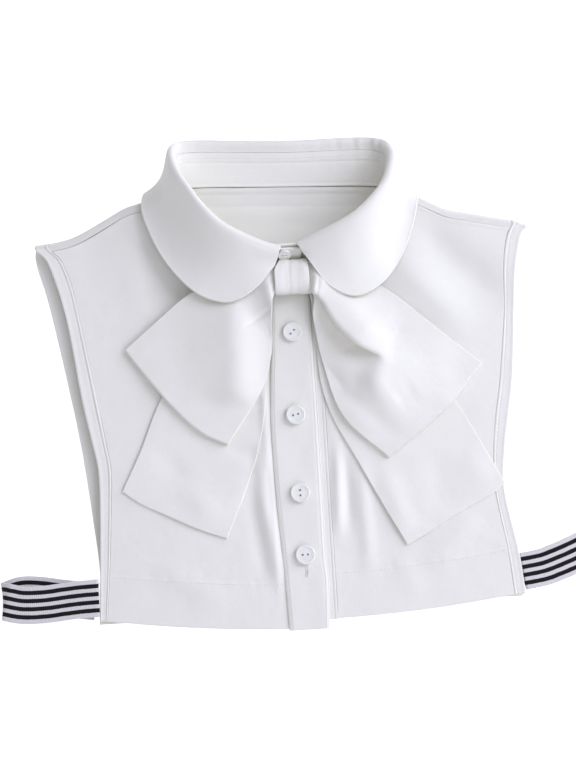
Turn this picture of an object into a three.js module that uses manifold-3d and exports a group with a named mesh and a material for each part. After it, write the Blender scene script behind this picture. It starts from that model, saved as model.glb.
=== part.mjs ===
// A detachable shirt collar: a rounded collar on a stand, a button-front bib, a bow and two striped
// elastic loops. It lies flat with its front upwards. Millimetres, +X to the viewer's right,
// +Y towards the nape, +Z up, the surface that it rests on at Z = 0.

import * as THREE from 'three';
import { mergeVertices } from 'three/addons/utils/BufferGeometryUtils.js';
import Module from 'manifold-3d';

const wasm = await Module();
wasm.setup();

// The middle of the whole outline, measured in the drawing's own frame
const OUTLINE_CENTRE = { x: 0, y: 3.35 };

// Cloth thicknesses
const BIB_CLOTH = 1.0;
const STAND_CLOTH = 1.6;
const LEAF_CLOTH = 1.4;
const PLACKET_CLOTH = 1.6;
const RIBBON_CLOTH = 1.0;
const KNOT_CLOTH = 1.3;
const ELASTIC = 1.2;

// Clearance between touching pieces, and between sewn edges that follow each other
const GAP = 0.3;
const SEAM_GAP = 0.8;
const SHOULDER_SEAM_GAP = 0.8;
const LEAF_SEAM_GAP = 0.65;
const PLACKET_GAP = 0.45;

// Heights of the middle of the cloth
const BACK_Z = BIB_CLOTH / 2;
const FRONT_Z = 6.0;
const NAPE_LIFT = 2.3;
const NAPE_LIFT_RUN = { start: 23, full: 8 };
const NAPE_LIFT_HALF_WIDTH = { full: 84, none: 91 };

// The bib
const BACK_HEM_Y = -137;
const SHOULDER_END_Y = 94;
const SHOULDER_WRAP = 5.5;
const WRAP_SHARE = 0.2;
const BACK_EDGE_RUN = 10;
const NAPE_ROWS_FROM = 0.68;
const NECK_POINT = { flat: 61, wrapped: 71 };
const HEM_DIP = 1.7;
const HEM_DIP_REACH = 0.3;
const SHOULDER_SHAPING = 0.8;
const BINDING_TURN_SHARE = 0.14;
const LEFT_FRONT = { centreX: -10, centreHemY: -146.4, armholeHemY: -135.6, neckSection: 0.45 };
const RIGHT_FRONT = { centreX: 17, centreHemY: -141.6, armholeHemY: -132.6, neckSection: 20.82 };
const NECK_EDGE_INSET = 1.7;
const NECK_EDGE_SHARE = 0.3;
const ARMHOLE_TURN = { start: 76, end: 91 };
const SHOULDER_ROWS_FROM = 0.88;

// The fold at the shoulders and the back neck edge, from the left armhole to the right one
const BIB_TOP = [
  { x: -154, y: 93.6 },
  { x: -140, y: 95.2 },
  { x: -129, y: 97.8 },
  { x: -118, y: 103.0 },
  { x: -107, y: 109.0 },
  { x: -97, y: 114.2 },
  { x: -88, y: 116.6 },
  { x: -76, y: 118.2 },
  { x: -68, y: 119.6 },
  { x: -57, y: 122.6 },
  { x: -30, y: 121.6 },
  { x: 0, y: 120.3 },
  { x: 30, y: 118.8 },
  { x: 55, y: 117.2 },
  { x: 66, y: 115.2 },
  { x: 78, y: 112.4 },
  { x: 87, y: 108.0 },
  { x: 98, y: 102.5 },
  { x: 110, y: 99.4 },
  { x: 126, y: 95.7 },
  { x: 138, y: 92.9 },
  { x: 145, y: 90.0 },
];

// The armhole edges at each height: how far each is from the centre line
const LEFT_ARMHOLE = [
  { y: -137, frontInner: 118.6, frontOuter: 122.8, backInner: 117.6, backOuter: 123.6 },
  { y: -109, frontInner: 116.1, frontOuter: 121.6, backInner: 115.6, backOuter: 122.0 },
  { y: -70, frontInner: 113.5, frontOuter: 120.1, backInner: 118.5, backOuter: 125.5 },
  { y: -46, frontInner: 112.6, frontOuter: 120.2, backInner: 120.6, backOuter: 128.2 },
  { y: -28, frontInner: 115.2, frontOuter: 123.4, backInner: 122.6, backOuter: 130.6 },
  { y: -4, frontInner: 119.0, frontOuter: 128.0, backInner: 126.6, backOuter: 134.6 },
  { y: 40, frontInner: 126.4, frontOuter: 134.4, backInner: 134.6, backOuter: 142.7 },
  { y: 64, frontInner: 130.8, frontOuter: 139.6, backInner: 139.8, backOuter: 147.8 },
  { y: 80, frontInner: 135.8, frontOuter: 144.6, backInner: 144.4, backOuter: 152.2 },
  { y: 94, frontInner: 141.0, frontOuter: 149.4, backInner: 145.6, backOuter: 153.6 },
];
const RIGHT_ARMHOLE = [
  { y: -137, frontInner: 122.4, frontOuter: 128.4, backInner: 121.0, backOuter: 127.2 },
  { y: -109, frontInner: 120.4, frontOuter: 126.2, backInner: 119.0, backOuter: 125.0 },
  { y: -70, frontInner: 114.5, frontOuter: 120.4, backInner: 113.4, backOuter: 119.4 },
  { y: -46, frontInner: 115.6, frontOuter: 122.6, backInner: 114.8, backOuter: 121.6 },
  { y: -28, frontInner: 118.0, frontOuter: 126.0, backInner: 117.4, backOuter: 125.0 },
  { y: -4, frontInner: 122.6, frontOuter: 130.4, backInner: 121.8, backOuter: 129.4 },
  { y: 40, frontInner: 128.6, frontOuter: 134.9, backInner: 127.2, backOuter: 134.0 },
  { y: 64, frontInner: 130.0, frontOuter: 137.6, backInner: 129.2, backOuter: 136.8 },
  { y: 80, frontInner: 132.6, frontOuter: 141.4, backInner: 131.8, backOuter: 140.6 },
  { y: 94, frontInner: 137.6, frontOuter: 146.4, backInner: 137.0, backOuter: 145.4 },
];

// Soft folds of the two fronts: each is a ridge or a hollow along a line
const FRONT_FOLDS = [
  { fromX: 84, fromY: 74, toX: 116, toY: 22, width: 7, height: 1.6 },
  { fromX: 24.5, fromY: -54, toX: 27, toY: -104, width: 4.2, height: 2.0 },
  { fromX: 36, fromY: -72, toX: 42, toY: -118, width: 4.5, height: 1.5 },
  { fromX: -28, fromY: -70, toX: -25, toY: -114, width: 4.0, height: 1.6 },
  { fromX: -96, fromY: 60, toX: -90, toY: 4, width: 12, height: 1.4 },
  { fromX: -84, fromY: -108, toX: -52, toY: -126, width: 8, height: 0.9 },
  { fromX: 76, fromY: -112, toX: 98, toY: -90, width: 9, height: 1.0 },
];

// The sections of the collar round the neck, from its left end over the nape to its right end.
// neck is the seam to the bib, fold the top of the turn-down, edge the outer edge of the leaf,
// and roll how far the seam between stand and leaf lies inside the fold.
const COLLAR = [
  { name: 'left end', neck: [-6, 73.6, 7.8], fold: [-6.2, 78, 21.5], edge: [-9.8, 69.5, 18.6], roll: 4 },
  { name: 'left front', neck: [-15, 74.4, 7.8], fold: [-15.2, 81.3, 24], edge: [-19.5, 57.2, 19.2], roll: 4 },
  { name: 'left throat', neck: [-28, 77.4, 7.8], fold: [-28.8, 87.9, 27], edge: [-36, 49, 18], roll: 4 },
  { name: 'left chest', neck: [-41, 83.2, 7.8], fold: [-40.2, 95.4, 29], edge: [-54, 54.6, 15.6], roll: 3.5 },
  { name: 'left side', neck: [-54, 92, 8], fold: [-51.3, 107.7, 31], edge: [-72.5, 75.2, 10.4], roll: 3 },
  { name: 'left yoke', neck: [-63.5, 102, 8.6], fold: [-58.3, 118.6, 31], edge: [-84, 97.2, 8.6], roll: 3 },
  { name: 'left shoulder', neck: [-68, 113.3, 9.2], fold: [-63, 126.3, 30], edge: [-88.2, 112.5, 9.2], roll: 3 },
  { name: 'left turn', neck: [-68.6, 117.5, 8.6], fold: [-65.8, 132.5, 28], edge: [-88.6, 121.6, 5.5], roll: 3 },
  { name: 'left tuck', neck: [-67.8, 121, 7.4], fold: [-68.4, 139.5, 25], edge: [-79, 119, 0.8], roll: 2 },
  { name: 'left corner', neck: [-64.5, 123.8, 5.8], fold: [-67.8, 147, 19], edge: [-66, 119.5, 0.8], roll: 1 },
  { name: 'left nape', neck: [-57, 124.6, 4.6], fold: [-60, 150.6, 13], edge: [-54, 120.5, 0.8], roll: 0 },
  { name: 'nape', neck: [0, 122.3, 3.8], fold: [2, 147.8, 11.3], edge: [0, 117.5, 0.8], roll: 0 },
  { name: 'right nape', neck: [55, 119.3, 4.6], fold: [54, 146.3, 13], edge: [50, 115, 0.8], roll: 0 },
  { name: 'right corner', neck: [62.5, 117.6, 5.8], fold: [62.8, 142.6, 17.5], edge: [62, 112.5, 0.8], roll: 1 },
  { name: 'right tuck', neck: [65.8, 114.8, 7.4], fold: [66, 135.5, 23], edge: [73, 112.5, 0.8], roll: 2 },
  { name: 'right turn', neck: [66.6, 110.8, 8.6], fold: [65.6, 129.5, 26.5], edge: [81.6, 117.4, 5.5], roll: 3 },
  { name: 'right shoulder', neck: [66.3, 107.2, 9.2], fold: [64, 123.5, 28.5], edge: [80.8, 107, 9.2], roll: 3 },
  { name: 'right yoke', neck: [62.5, 98, 8.6], fold: [60, 114.4, 30], edge: [76.9, 92, 8.6], roll: 3 },
  { name: 'right side', neck: [53.5, 90.4, 8], fold: [53.8, 106.5, 31], edge: [68.1, 72.4, 10.4], roll: 3 },
  { name: 'right chest', neck: [41, 82.8, 7.8], fold: [42.6, 96.4, 30], edge: [55.5, 56.2, 15.4], roll: 3.5 },
  { name: 'right throat', neck: [28, 77.4, 7.8], fold: [30.4, 89.7, 28], edge: [39, 48.5, 18], roll: 4 },
  { name: 'right front', neck: [15, 74.4, 7.8], fold: [18.3, 84.5, 25], edge: [24, 55, 19.2], roll: 4 },
  { name: 'right end', neck: [6, 73.6, 7.8], fold: [6.8, 79.5, 22], edge: [9.2, 76.5, 21], roll: 4 },
];
const LAST_SECTION = COLLAR.length - 1;
const LEFT_SHOULDER = COLLAR.findIndex((row) => row.name === 'left shoulder');
const RIGHT_SHOULDER = COLLAR.findIndex((row) => row.name === 'right shoulder');
const STAND_SHARE = 0.78;
const ROLL_REACH = 11;
const ROLL_LIMIT = 0.45;
const ROLL_EASE = 0.4;
const EDGE_REACH = 0.38;
const FOLD_FALL = 0.2;
const LEAF_LOWEST = LEAF_CLOTH / 2 + 0.02;
const LAP_LENGTH = 13;
const LAP_OFFSET = 1.15;

// The button band and the band under it: the two edges at each height
const PLACKET = [
  { y: -147.4, left: -12.0, right: 11.5 },
  { y: -119, left: -13.0, right: 12.8 },
  { y: -106, left: -13.5, right: 11.9 },
  { y: -67, left: -15.4, right: 12.0 },
  { y: -20, left: -15.9, right: 12.2 },
  { y: 32, left: -12.8, right: 11.9 },
  { y: 70, left: -12.4, right: 12.0 },
];
const UNDER_PLACKET = { innerX: 4, outerX: 16.4, hemY: -142, topY: 70, taper: 3, taperStart: 0.9 };

// The buttons
const BUTTONS = [
  { x: 0, y: 30.6, turn: 45 },
  { x: -1, y: -19.8, turn: 12 },
  { x: -1, y: -66.7, turn: 90 },
  { x: -0.2, y: -103.5, turn: 0 },
];
const BUTTON = { radius: 5.8, height: 2.1, rim: 0.7, dishRadius: 3.9, holeRadius: 0.65, holeSpacing: 3 };
const NECK_BUTTON = { radius: 4, height: 1.6, rim: 0, dishRadius: 2.8, y: 79.2 };
// Shares of a button's radius or height: its flat base, its widest line, the rim's top, the dish's floor
const BUTTON_SHAPE = { base: 0.82, widest: 0.45, top: 0.93, floor: 0.85, sides: 18, holeSides: 8 };

// The bow. Each patch runs out from the knot between a low edge, on the button side, and a high one.
const BOW_PATCHES = {
  loopLeft: {
    low: [[-1, 54.4], [-9, 53.6], [-11.9, 40], [-12.2, 22], [-18.6, -1], [-41.8, -35.6]],
    high: [[-1, 69.6], [-9, 69.8], [-32, 66], [-59.2, 57.7], [-80, 42.6], [-100.3, 25.9]],
    far: [[-41.8, -35.6], [-57.6, -27.5], [-74.2, -10.8], [-88, 7.6], [-100.3, 25.9]],
  },
  loopRight: {
    low: [[3, 54.4], [11, 53.6], [13, 36], [17.5, 11.6], [28, -21], [52.8, -47.8]],
    high: [[3, 69.6], [11, 69.8], [32, 66], [56, 54.6], [84, 30.4], [111.7, 6]],
    far: [[52.8, -47.8], [74.7, -31.4], [93.4, -15.5], [104, -2.5], [111.7, 6]],
  },
  tailLeft: {
    low: [[-1, 57], [-9, 56], [-16, 34], [-18.4, -12.5], [-26.5, -46], [-45.5, -91.3]],
    high: [[-1, 67.4], [-9, 67.2], [-48, 40], [-80.3, -4.4], [-94.4, -35.8], [-106.3, -59.7]],
    far: [[-45.5, -91.3], [-64.4, -83.8], [-81.9, -74.9], [-95.9, -67.6], [-106.3, -59.7]],
  },
  tailRight: {
    low: [[3, 57], [11, 56], [15, 30], [17.6, -8], [34, -49], [60.4, -101.1]],
    high: [[3, 67.4], [11, 67.2], [54, 40], [93.7, -15.1], [108, -41.5], [120.9, -67.7]],
    far: [[60.4, -101.1], [76.1, -93], [94.3, -82.7], [113.3, -73.3], [120.9, -67.7]],
  },
};
const TAIL_REST = 2.1;
const TAIL_AT_KNOT = 11.7;
const TAIL_SETTLE = { start: 0.06, end: 0.16 };
const TAIL_STATIONS = [0, 0.05, 0.085, 0.12, 0.16, 0.24, 0.335, 0.43, 0.525, 0.62, 0.715, 0.81, 0.905, 1];
const LOOP_LOWER_Z = 10.4;
const LOOP_AT_KNOT = { lower: 13.2, upper: 16.8 };
const LOOP_SETTLE = { start: 0.14, end: 0.5 };
const LOOP_FAR_RADIUS = 1.3;
const LOOP_TURN_SHARE = 0.12;
const LOOP_STATIONS = [0, 0.07, 0.14, 0.22, 0.34, 0.48, 0.62, 0.76, 0.9, 1];
const LAST_STRETCH = 0.02;

// Folds of the bow: across is the place between the low edge (0) and the high one (1),
// from and to are places on the way out from the knot
const LOOP_FOLDS_LEFT = [
  { across: 0.2, width: 0.13, height: 3.0, from: 0.4, to: 0.95 },
  { across: 0.5, width: 0.13, height: -0.8, from: 0.4, to: 0.9 },
  { across: 0.8, width: 0.14, height: 0.8, from: 0.6, to: 0.95 },
];
const LOOP_FOLDS_RIGHT = [
  { across: 0.12, width: 0.09, height: 0.6, from: 0.3, to: 0.9 },
  { across: 0.46, width: 0.12, height: 3.4, from: 0.35, to: 0.8 },
  { across: 0.78, width: 0.12, height: 0.8, from: 0.6, to: 0.95 },
];
const TAIL_FOLDS = [
  { across: 0.35, width: 0.16, height: 0.9, from: 0.75, to: 1.1 },
  { across: 0.8, width: 0.15, height: 0.5, from: 0.75, to: 1.1 },
];
const FOLD_EASE = { before: 0.2, after: 0.1 };
const KNOT = { x: 1, y: 61.8, z: 16.4, halfLength: 8.6, halfWidth: 10.6, halfHeight: 6.9 };
const KNOT_SHAPE = { squareness: 3.4, waist: 0.05, sides: 24 };

// The middle line of each elastic loop, from the front hem round its end to the back hem
const STRAP_WIDTH = 22;
const STRAP_TURN_SHARE = 0.16;
const STRAP_LEFT = {
  front: [[-123.4, -122.4], [-142, -122.8], [-160, -123.3], [-177.2, -121.6]],
  back: [[-177.2, -120.4], [-160, -118], [-142, -119], [-124.8, -120.4]],
};
const STRAP_RIGHT = {
  front: [[128.2, -120.8], [138, -120], [151, -116.2], [163, -111.2], [173.9, -106.2]],
  back: [[173.9, -106.6], [163, -112.4], [151, -117.4], [138, -120.4], [127.4, -121]],
};

// Colours and surfaces
const FABRIC = { color: 0xf3f3f6, roughness: 0.85, metalness: 0 };
const LINING = { color: 0xe9e8ee, roughness: 0.85, metalness: 0 };
const PEARL = { color: 0xf6f6fa, roughness: 0.3, metalness: 0 };
const STRIPES = { color: 0x6d6a72, roughness: 0.8, metalness: 0 };

const { lerp, clamp, smoothstep, degToRad } = THREE.MathUtils;

function steps(from, to, count) {
  return Array.from({ length: count + 1 }, (_, i) => lerp(from, to, i / count));
}

// A smooth value between the rows of a table
function tableValue(table, key, column, at) {
  const last = table.length - 1;
  const place = clamp(at, table[0][key], table[last][key]);
  let i = 0;
  while (i < last - 1 && place > table[i + 1][key]) i += 1;
  const slope = (a, b) => (table[b][column] - table[a][column]) / (table[b][key] - table[a][key]);
  const here = slope(i, i + 1);
  const before = i > 0 ? slope(i - 1, i + 1) : here;
  const after = i < last - 1 ? slope(i, i + 2) : here;
  const span = table[i + 1][key] - table[i][key];
  const t = (place - table[i][key]) / span;
  const value = (1 + 2 * t) * (1 - t) ** 2 * table[i][column] + t * t * (3 - 2 * t) * table[i + 1][column];
  return value + span * (t * (1 - t) ** 2 * before - t * t * (1 - t) * after);
}

// A closed solid of the given thickness about the surface point(u, v)
function sheet(point, us, vs, thickness, { ring = false } = {}) {
  const probe = 1e-3;
  const vertices = [];
  const sides = [];
  const rows = ring ? us.slice(0, -1) : us;
  for (const side of [0.5, -0.5]) {
    const grid = rows.map((u) => vs.map((v) => {
      const uLow = ring ? u - probe : Math.max(us[0], u - probe);
      const uHigh = ring ? u + probe : Math.min(us[us.length - 1], u + probe);
      const vLow = Math.max(vs[0], v - probe);
      const vHigh = Math.min(vs[vs.length - 1], v + probe);
      const along = point(uHigh, v).sub(point(uLow, v));
      const across = point(u, vHigh).sub(point(u, vLow));
      const normal = along.cross(across).normalize();
      vertices.push(point(u, v).addScaledVector(normal, side * thickness));
      return vertices.length - 1;
    }));
    sides.push(grid);
  }
  const faces = [];
  const quad = (a, b, c, d) => faces.push([a, b, c], [a, c, d]);
  const [top, bottom] = sides;
  const spans = ring ? rows.length : rows.length - 1;
  for (let i = 0; i < spans; i += 1) {
    const n = (i + 1) % rows.length;
    for (let j = 0; j < vs.length - 1; j += 1) {
      quad(top[i][j], top[n][j], top[n][j + 1], top[i][j + 1]);
      quad(bottom[i][j], bottom[i][j + 1], bottom[n][j + 1], bottom[n][j]);
    }
    const end = vs.length - 1;
    quad(top[n][0], top[i][0], bottom[i][0], bottom[n][0]);
    quad(top[i][end], top[n][end], bottom[n][end], bottom[i][end]);
  }
  if (!ring) {
    const end = rows.length - 1;
    for (let j = 0; j < vs.length - 1; j += 1) {
      quad(top[0][j], top[0][j + 1], bottom[0][j + 1], bottom[0][j]);
      quad(top[end][j + 1], top[end][j], bottom[end][j], bottom[end][j + 1]);
    }
  }
  return closedGeometry(vertices, faces);
}

// A geometry whose faces point outwards
function closedGeometry(vertices, faces) {
  let volume = 0;
  for (const [a, b, c] of faces) volume += vertices[a].dot(vertices[b].clone().cross(vertices[c]));
  const facing = volume > 0 ? faces : faces.map(([a, b, c]) => [a, c, b]);
  const geometry = new THREE.BufferGeometry();
  const numbers = vertices.flatMap((p) => p.toArray());
  geometry.setAttribute('position', new THREE.Float32BufferAttribute(numbers, 3));
  geometry.setIndex(facing.flat());
  geometry.computeVertexNormals();
  return geometry;
}

function asManifold(geometry) {
  const bare = geometry.clone();
  bare.deleteAttribute('normal');
  bare.deleteAttribute('uv');
  const merged = mergeVertices(bare, 1e-4);
  return new wasm.Manifold(new wasm.Mesh({
    numProp: 3,
    vertProperties: new Float32Array(merged.attributes.position.array),
    triVerts: new Uint32Array(merged.index.array),
  }));
}

function fromManifold(solid) {
  const mesh = solid.getMesh();
  const geometry = new THREE.BufferGeometry();
  geometry.setAttribute('position', new THREE.BufferAttribute(mesh.vertProperties, 3));
  geometry.setIndex(new THREE.BufferAttribute(mesh.triVerts, 1));
  geometry.computeVertexNormals();
  return geometry;
}

function piece(name, geometry, surface) {
  const mesh = new THREE.Mesh(geometry, new THREE.MeshStandardMaterial(surface));
  mesh.name = name;
  return mesh;
}

// The height of the front's cloth, with its soft folds
function frontHeight(x, y) {
  let height = FRONT_Z;
  for (const fold of FRONT_FOLDS) {
    const dx = fold.toX - fold.fromX;
    const dy = fold.toY - fold.fromY;
    const along = clamp(((x - fold.fromX) * dx + (y - fold.fromY) * dy) / (dx * dx + dy * dy), 0, 1);
    const away = Math.hypot(x - fold.fromX - along * dx, y - fold.fromY - along * dy);
    height += fold.height * Math.exp(-((away / fold.width) ** 2));
  }
  return height;
}

// The height of the back's cloth, which rises over the leaf of the collar at the nape
function backHeight(x, y) {
  const below = tableValue(BIB_TOP, 'x', 'y', x) - y;
  const rise = 1 - smoothstep(below, NAPE_LIFT_RUN.full, NAPE_LIFT_RUN.start);
  const width = 1 - smoothstep(Math.abs(x), NAPE_LIFT_HALF_WIDTH.full, NAPE_LIFT_HALF_WIDTH.none);
  return BACK_Z + NAPE_LIFT * rise * width;
}

// A point at a length along a path that runs up the back, turns over a fold and comes forward
function overFold(x, foldY, backZ, frontZ, wrap, run) {
  const radius = (frontZ - backZ) / 2;
  const turn = Math.PI * wrap;
  const arc = turn * radius;
  const flatEnd = foldY - radius * wrap;
  if (run < arc) {
    const angle = run / radius;
    return new THREE.Vector3(x, flatEnd + radius * Math.sin(angle), backZ + radius * (1 - Math.cos(angle)));
  }
  const forward = run - arc;
  return new THREE.Vector3(
    x,
    flatEnd + radius * Math.sin(turn) + forward * Math.cos(turn),
    backZ + radius * (1 - Math.cos(turn)) + forward * Math.sin(turn),
  );
}

// How far an armhole's band reaches, between its inner (0) and outer (1) edge.
// Front and back meet in one line where the band turns over the shoulder.
function armholeX(side, layer, y, across) {
  const armhole = side < 0 ? LEFT_ARMHOLE : RIGHT_ARMHOLE;
  const reach = (which, at) => side * lerp(
    tableValue(armhole, 'y', `${which}Inner`, at),
    tableValue(armhole, 'y', `${which}Outer`, at),
    across,
  );
  const turn = (reach('front', SHOULDER_END_Y) + reach('back', SHOULDER_END_Y)) / 2;
  return lerp(reach(layer, y), turn, smoothstep(y, ARMHOLE_TURN.start, ARMHOLE_TURN.end));
}

function backPanel() {
  const left = (y) => armholeX(-1, 'back', y, 0) + SEAM_GAP;
  const right = (y) => armholeX(1, 'back', y, 0) - SEAM_GAP;
  const ends = { left: left(SHOULDER_END_Y), right: right(SHOULDER_END_Y) };
  const column = (x) => {
    const foldY = tableValue(BIB_TOP, 'x', 'y', x);
    const wrap = smoothstep(Math.abs(x), NECK_POINT.flat, NECK_POINT.wrapped);
    const backZ = backHeight(x, foldY);
    const radius = (FRONT_Z - backZ) / 2;
    const flatRun = BACK_EDGE_RUN * (1 - wrap);
    return { foldY, wrap, backZ, radius, flatRun, flatEnd: foldY - radius * wrap - flatRun };
  };
  const leftEnd = column(ends.left).flatEnd;
  const rightEnd = column(ends.right).flatEnd;
  const flatShare = 1 - WRAP_SHARE;
  const point = (u, v) => {
    const topX = lerp(ends.left, ends.right, u);
    const { foldY, wrap, backZ, radius, flatRun, flatEnd } = column(topX);
    if (v <= flatShare) {
      const share = v / flatShare;
      const x = lerp(left(lerp(BACK_HEM_Y, leftEnd, share)), right(lerp(BACK_HEM_Y, rightEnd, share)), u);
      const y = lerp(BACK_HEM_Y, flatEnd, share);
      return new THREE.Vector3(x, y, backHeight(x, y));
    }
    const length = flatRun + wrap * (Math.PI * radius + SHOULDER_WRAP - radius);
    const run = (length * (v - flatShare)) / WRAP_SHARE;
    if (run < flatRun) {
      const y = flatEnd + run;
      return new THREE.Vector3(topX, y, backHeight(topX, y));
    }
    return overFold(topX, foldY, backZ, FRONT_Z, wrap, run - flatRun);
  };
  const columns = [
    ...steps(ends.left, -NECK_POINT.wrapped, 7),
    ...steps(-NECK_POINT.wrapped, -NECK_POINT.flat, 3).slice(1),
    ...steps(-NECK_POINT.flat, NECK_POINT.flat, 4).slice(1),
    ...steps(NECK_POINT.flat, NECK_POINT.wrapped, 3).slice(1),
    ...steps(NECK_POINT.wrapped, ends.right, 7).slice(1),
  ];
  const us = columns.map((x) => (x - ends.left) / (ends.right - ends.left));
  const flat = [...steps(0, NAPE_ROWS_FROM, 9), ...steps(NAPE_ROWS_FROM, flatShare, 5).slice(1)];
  return sheet(point, us, [...flat, ...steps(flatShare, 1, 6).slice(1)], BIB_CLOTH);
}

// A curve through the named points of the collar's sections
function sectionCurve(column) {
  const points = COLLAR.map((row) => new THREE.Vector3(...row[column]));
  return new THREE.CatmullRomCurve3(points, false, 'centripetal');
}

const neckCurve = sectionCurve('neck');
const foldCurve = sectionCurve('fold');
const edgeCurve = sectionCurve('edge');
const rollCurve = new THREE.CatmullRomCurve3(
  COLLAR.map((row, i) => new THREE.Vector3(i, row.roll, 0)), false, 'centripetal');

// The outward direction, in plan, of a curve round the neck
function outward(curve, t) {
  const tangent = curve.getTangent(clamp(t, 0, 1));
  return new THREE.Vector3(tangent.y, -tangent.x, 0).normalize().negate();
}

// The seam between the stand and the leaf
function leafSeam(t) {
  const seam = neckCurve.getPoint(t).lerp(foldCurve.getPoint(t), STAND_SHARE);
  return seam.addScaledVector(outward(foldCurve, t), -rollCurve.getPoint(t).y);
}

// A place on the stand: t round the neck, rise from the neck seam (0) to the leaf's seam (1).
// Past the ends of the leaf the stand runs on straight, the left end over the right one.
function standPoint(t, rise) {
  const within = clamp(t, 0, 1);
  const seam = leafSeam(within);
  const neck = neckCurve.getPoint(within);
  const slope = seam.clone().sub(neck).normalize();
  const front = new THREE.Vector3(0, -slope.z, slope.y);
  const section = within * LAST_SECTION;
  const leftLap = 1 - smoothstep(section, 0, 1);
  const rightLap = smoothstep(section, LAST_SECTION - 1, LAST_SECTION);
  const beyond = (t - within) * LAP_LENGTH * LAST_SECTION;
  const place = neck.lerp(seam, rise);
  place.x -= beyond;
  return place.addScaledVector(front, LAP_OFFSET * (leftLap - rightLap));
}

function collarStand() {
  const beyond = 1 / LAST_SECTION;
  const round = steps(0, 1, 38).map((u) => foldCurve.getUtoTmapping(u));
  const ts = [-beyond, -beyond / 2, ...round, 1 + beyond / 2, 1 + beyond];
  return sheet(standPoint, ts, steps(0, 1, 3), STAND_CLOTH);
}

// A place on the leaf: t round the neck, fall from the stand's seam (0) over the fold to the edge (1)
function leafPoint(t, fall) {
  const neck = neckCurve.getPoint(t);
  const seam = leafSeam(t);
  const fold = foldCurve.getPoint(t);
  const edge = edgeCurve.getPoint(t);
  const out = outward(foldCurve, t);
  const slope = seam.clone().sub(neck).normalize();
  if (fall <= FOLD_FALL) {
    const start = seam.clone().addScaledVector(slope, LEAF_SEAM_GAP);
    const reach = start.distanceTo(fold) * ROLL_EASE;
    const rising = start.clone().addScaledVector(slope, reach);
    const arriving = fold.clone().addScaledVector(out, -reach);
    return bezier(start, rising, arriving, fold, fall / FOLD_FALL);
  }
  const across = edge.clone().sub(fold).setZ(0);
  const reach = Math.min(ROLL_REACH, across.length() * ROLL_LIMIT);
  const leaving = fold.clone().addScaledVector(out, reach);
  const landing = edge.clone().addScaledVector(across, -EDGE_REACH);
  const place = bezier(fold, leaving, landing, edge, (fall - FOLD_FALL) / (1 - FOLD_FALL));
  return place.setZ(Math.max(place.z, LEAF_LOWEST));
}

function bezier(a, b, c, d, t) {
  const s = 1 - t;
  return new THREE.Vector3()
    .addScaledVector(a, s * s * s)
    .addScaledVector(b, 3 * s * s * t)
    .addScaledVector(c, 3 * s * t * t)
    .addScaledVector(d, t * t * t);
}

function collarLeaf() {
  const ts = steps(0, 1, 46).map((u) => foldCurve.getUtoTmapping(u));
  return sheet(leafPoint, ts, [...steps(0, FOLD_FALL, 2), ...steps(FOLD_FALL, 1, 6).slice(1)], LEAF_CLOTH);
}

// The neck edge of a front, from the centre (0) to the shoulder seam (1)
function neckEdge(side, share) {
  const centre = side < 0 ? LEFT_FRONT.neckSection : RIGHT_FRONT.neckSection;
  const shoulder = side < 0 ? LEFT_SHOULDER : RIGHT_SHOULDER;
  const t = lerp(centre, shoulder, share) / LAST_SECTION;
  return neckCurve.getPoint(t).addScaledVector(outward(neckCurve, t), NECK_EDGE_INSET);
}

// One front of the bib: side is -1 for the left, 1 for the right
function frontPanel(side) {
  const { centreX, centreHemY, armholeHemY } = side < 0 ? LEFT_FRONT : RIGHT_FRONT;
  const centreTopY = neckEdge(side, 0).y;
  const seamY = (x) => tableValue(BIB_TOP, 'x', 'y', x) - SHOULDER_WRAP - SHOULDER_SEAM_GAP;
  const armholeEdge = (y) => armholeX(side, 'front', y, 0) - side * SEAM_GAP;
  const armholeTopY = seamY(armholeX(side, 'front', SHOULDER_END_Y, 0));
  const neckEnd = neckEdge(side, 1);
  const centreShare = 1 - NECK_EDGE_SHARE;
  const inner = (v) => {
    if (v > centreShare) return neckEdge(side, (v - centreShare) / NECK_EDGE_SHARE);
    return new THREE.Vector3(centreX, lerp(centreHemY, centreTopY, v / centreShare), 0);
  };
  // How far the shoulder seam lies above the straight line between its ends
  const seamRise = (u) => {
    const x = lerp(neckEnd.x, armholeEdge(armholeTopY), u);
    const rise = seamY(x) - lerp(neckEnd.y, armholeTopY, u);
    return Math.abs(x) > NECK_POINT.wrapped ? rise : Math.min(0, rise);
  };
  const point = (u, v) => {
    const from = inner(v);
    const outerY = lerp(armholeHemY, armholeTopY, v);
    const x = lerp(from.x, armholeEdge(outerY), u);
    const dip = HEM_DIP * 4 * u * (1 - u) * (1 - smoothstep(v, 0, HEM_DIP_REACH));
    const rise = seamRise(u) * smoothstep(v, SHOULDER_SHAPING, 1);
    const y = lerp(from.y, outerY, u) - dip + rise;
    return new THREE.Vector3(x, y, frontHeight(x, y));
  };
  const vs = [
    ...steps(0, centreShare, 12),
    ...steps(centreShare, SHOULDER_ROWS_FROM, 2).slice(1),
    ...steps(SHOULDER_ROWS_FROM, 1, 5).slice(1),
  ];
  return sheet(point, steps(0, 1, 10), vs, BIB_CLOTH);
}

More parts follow.
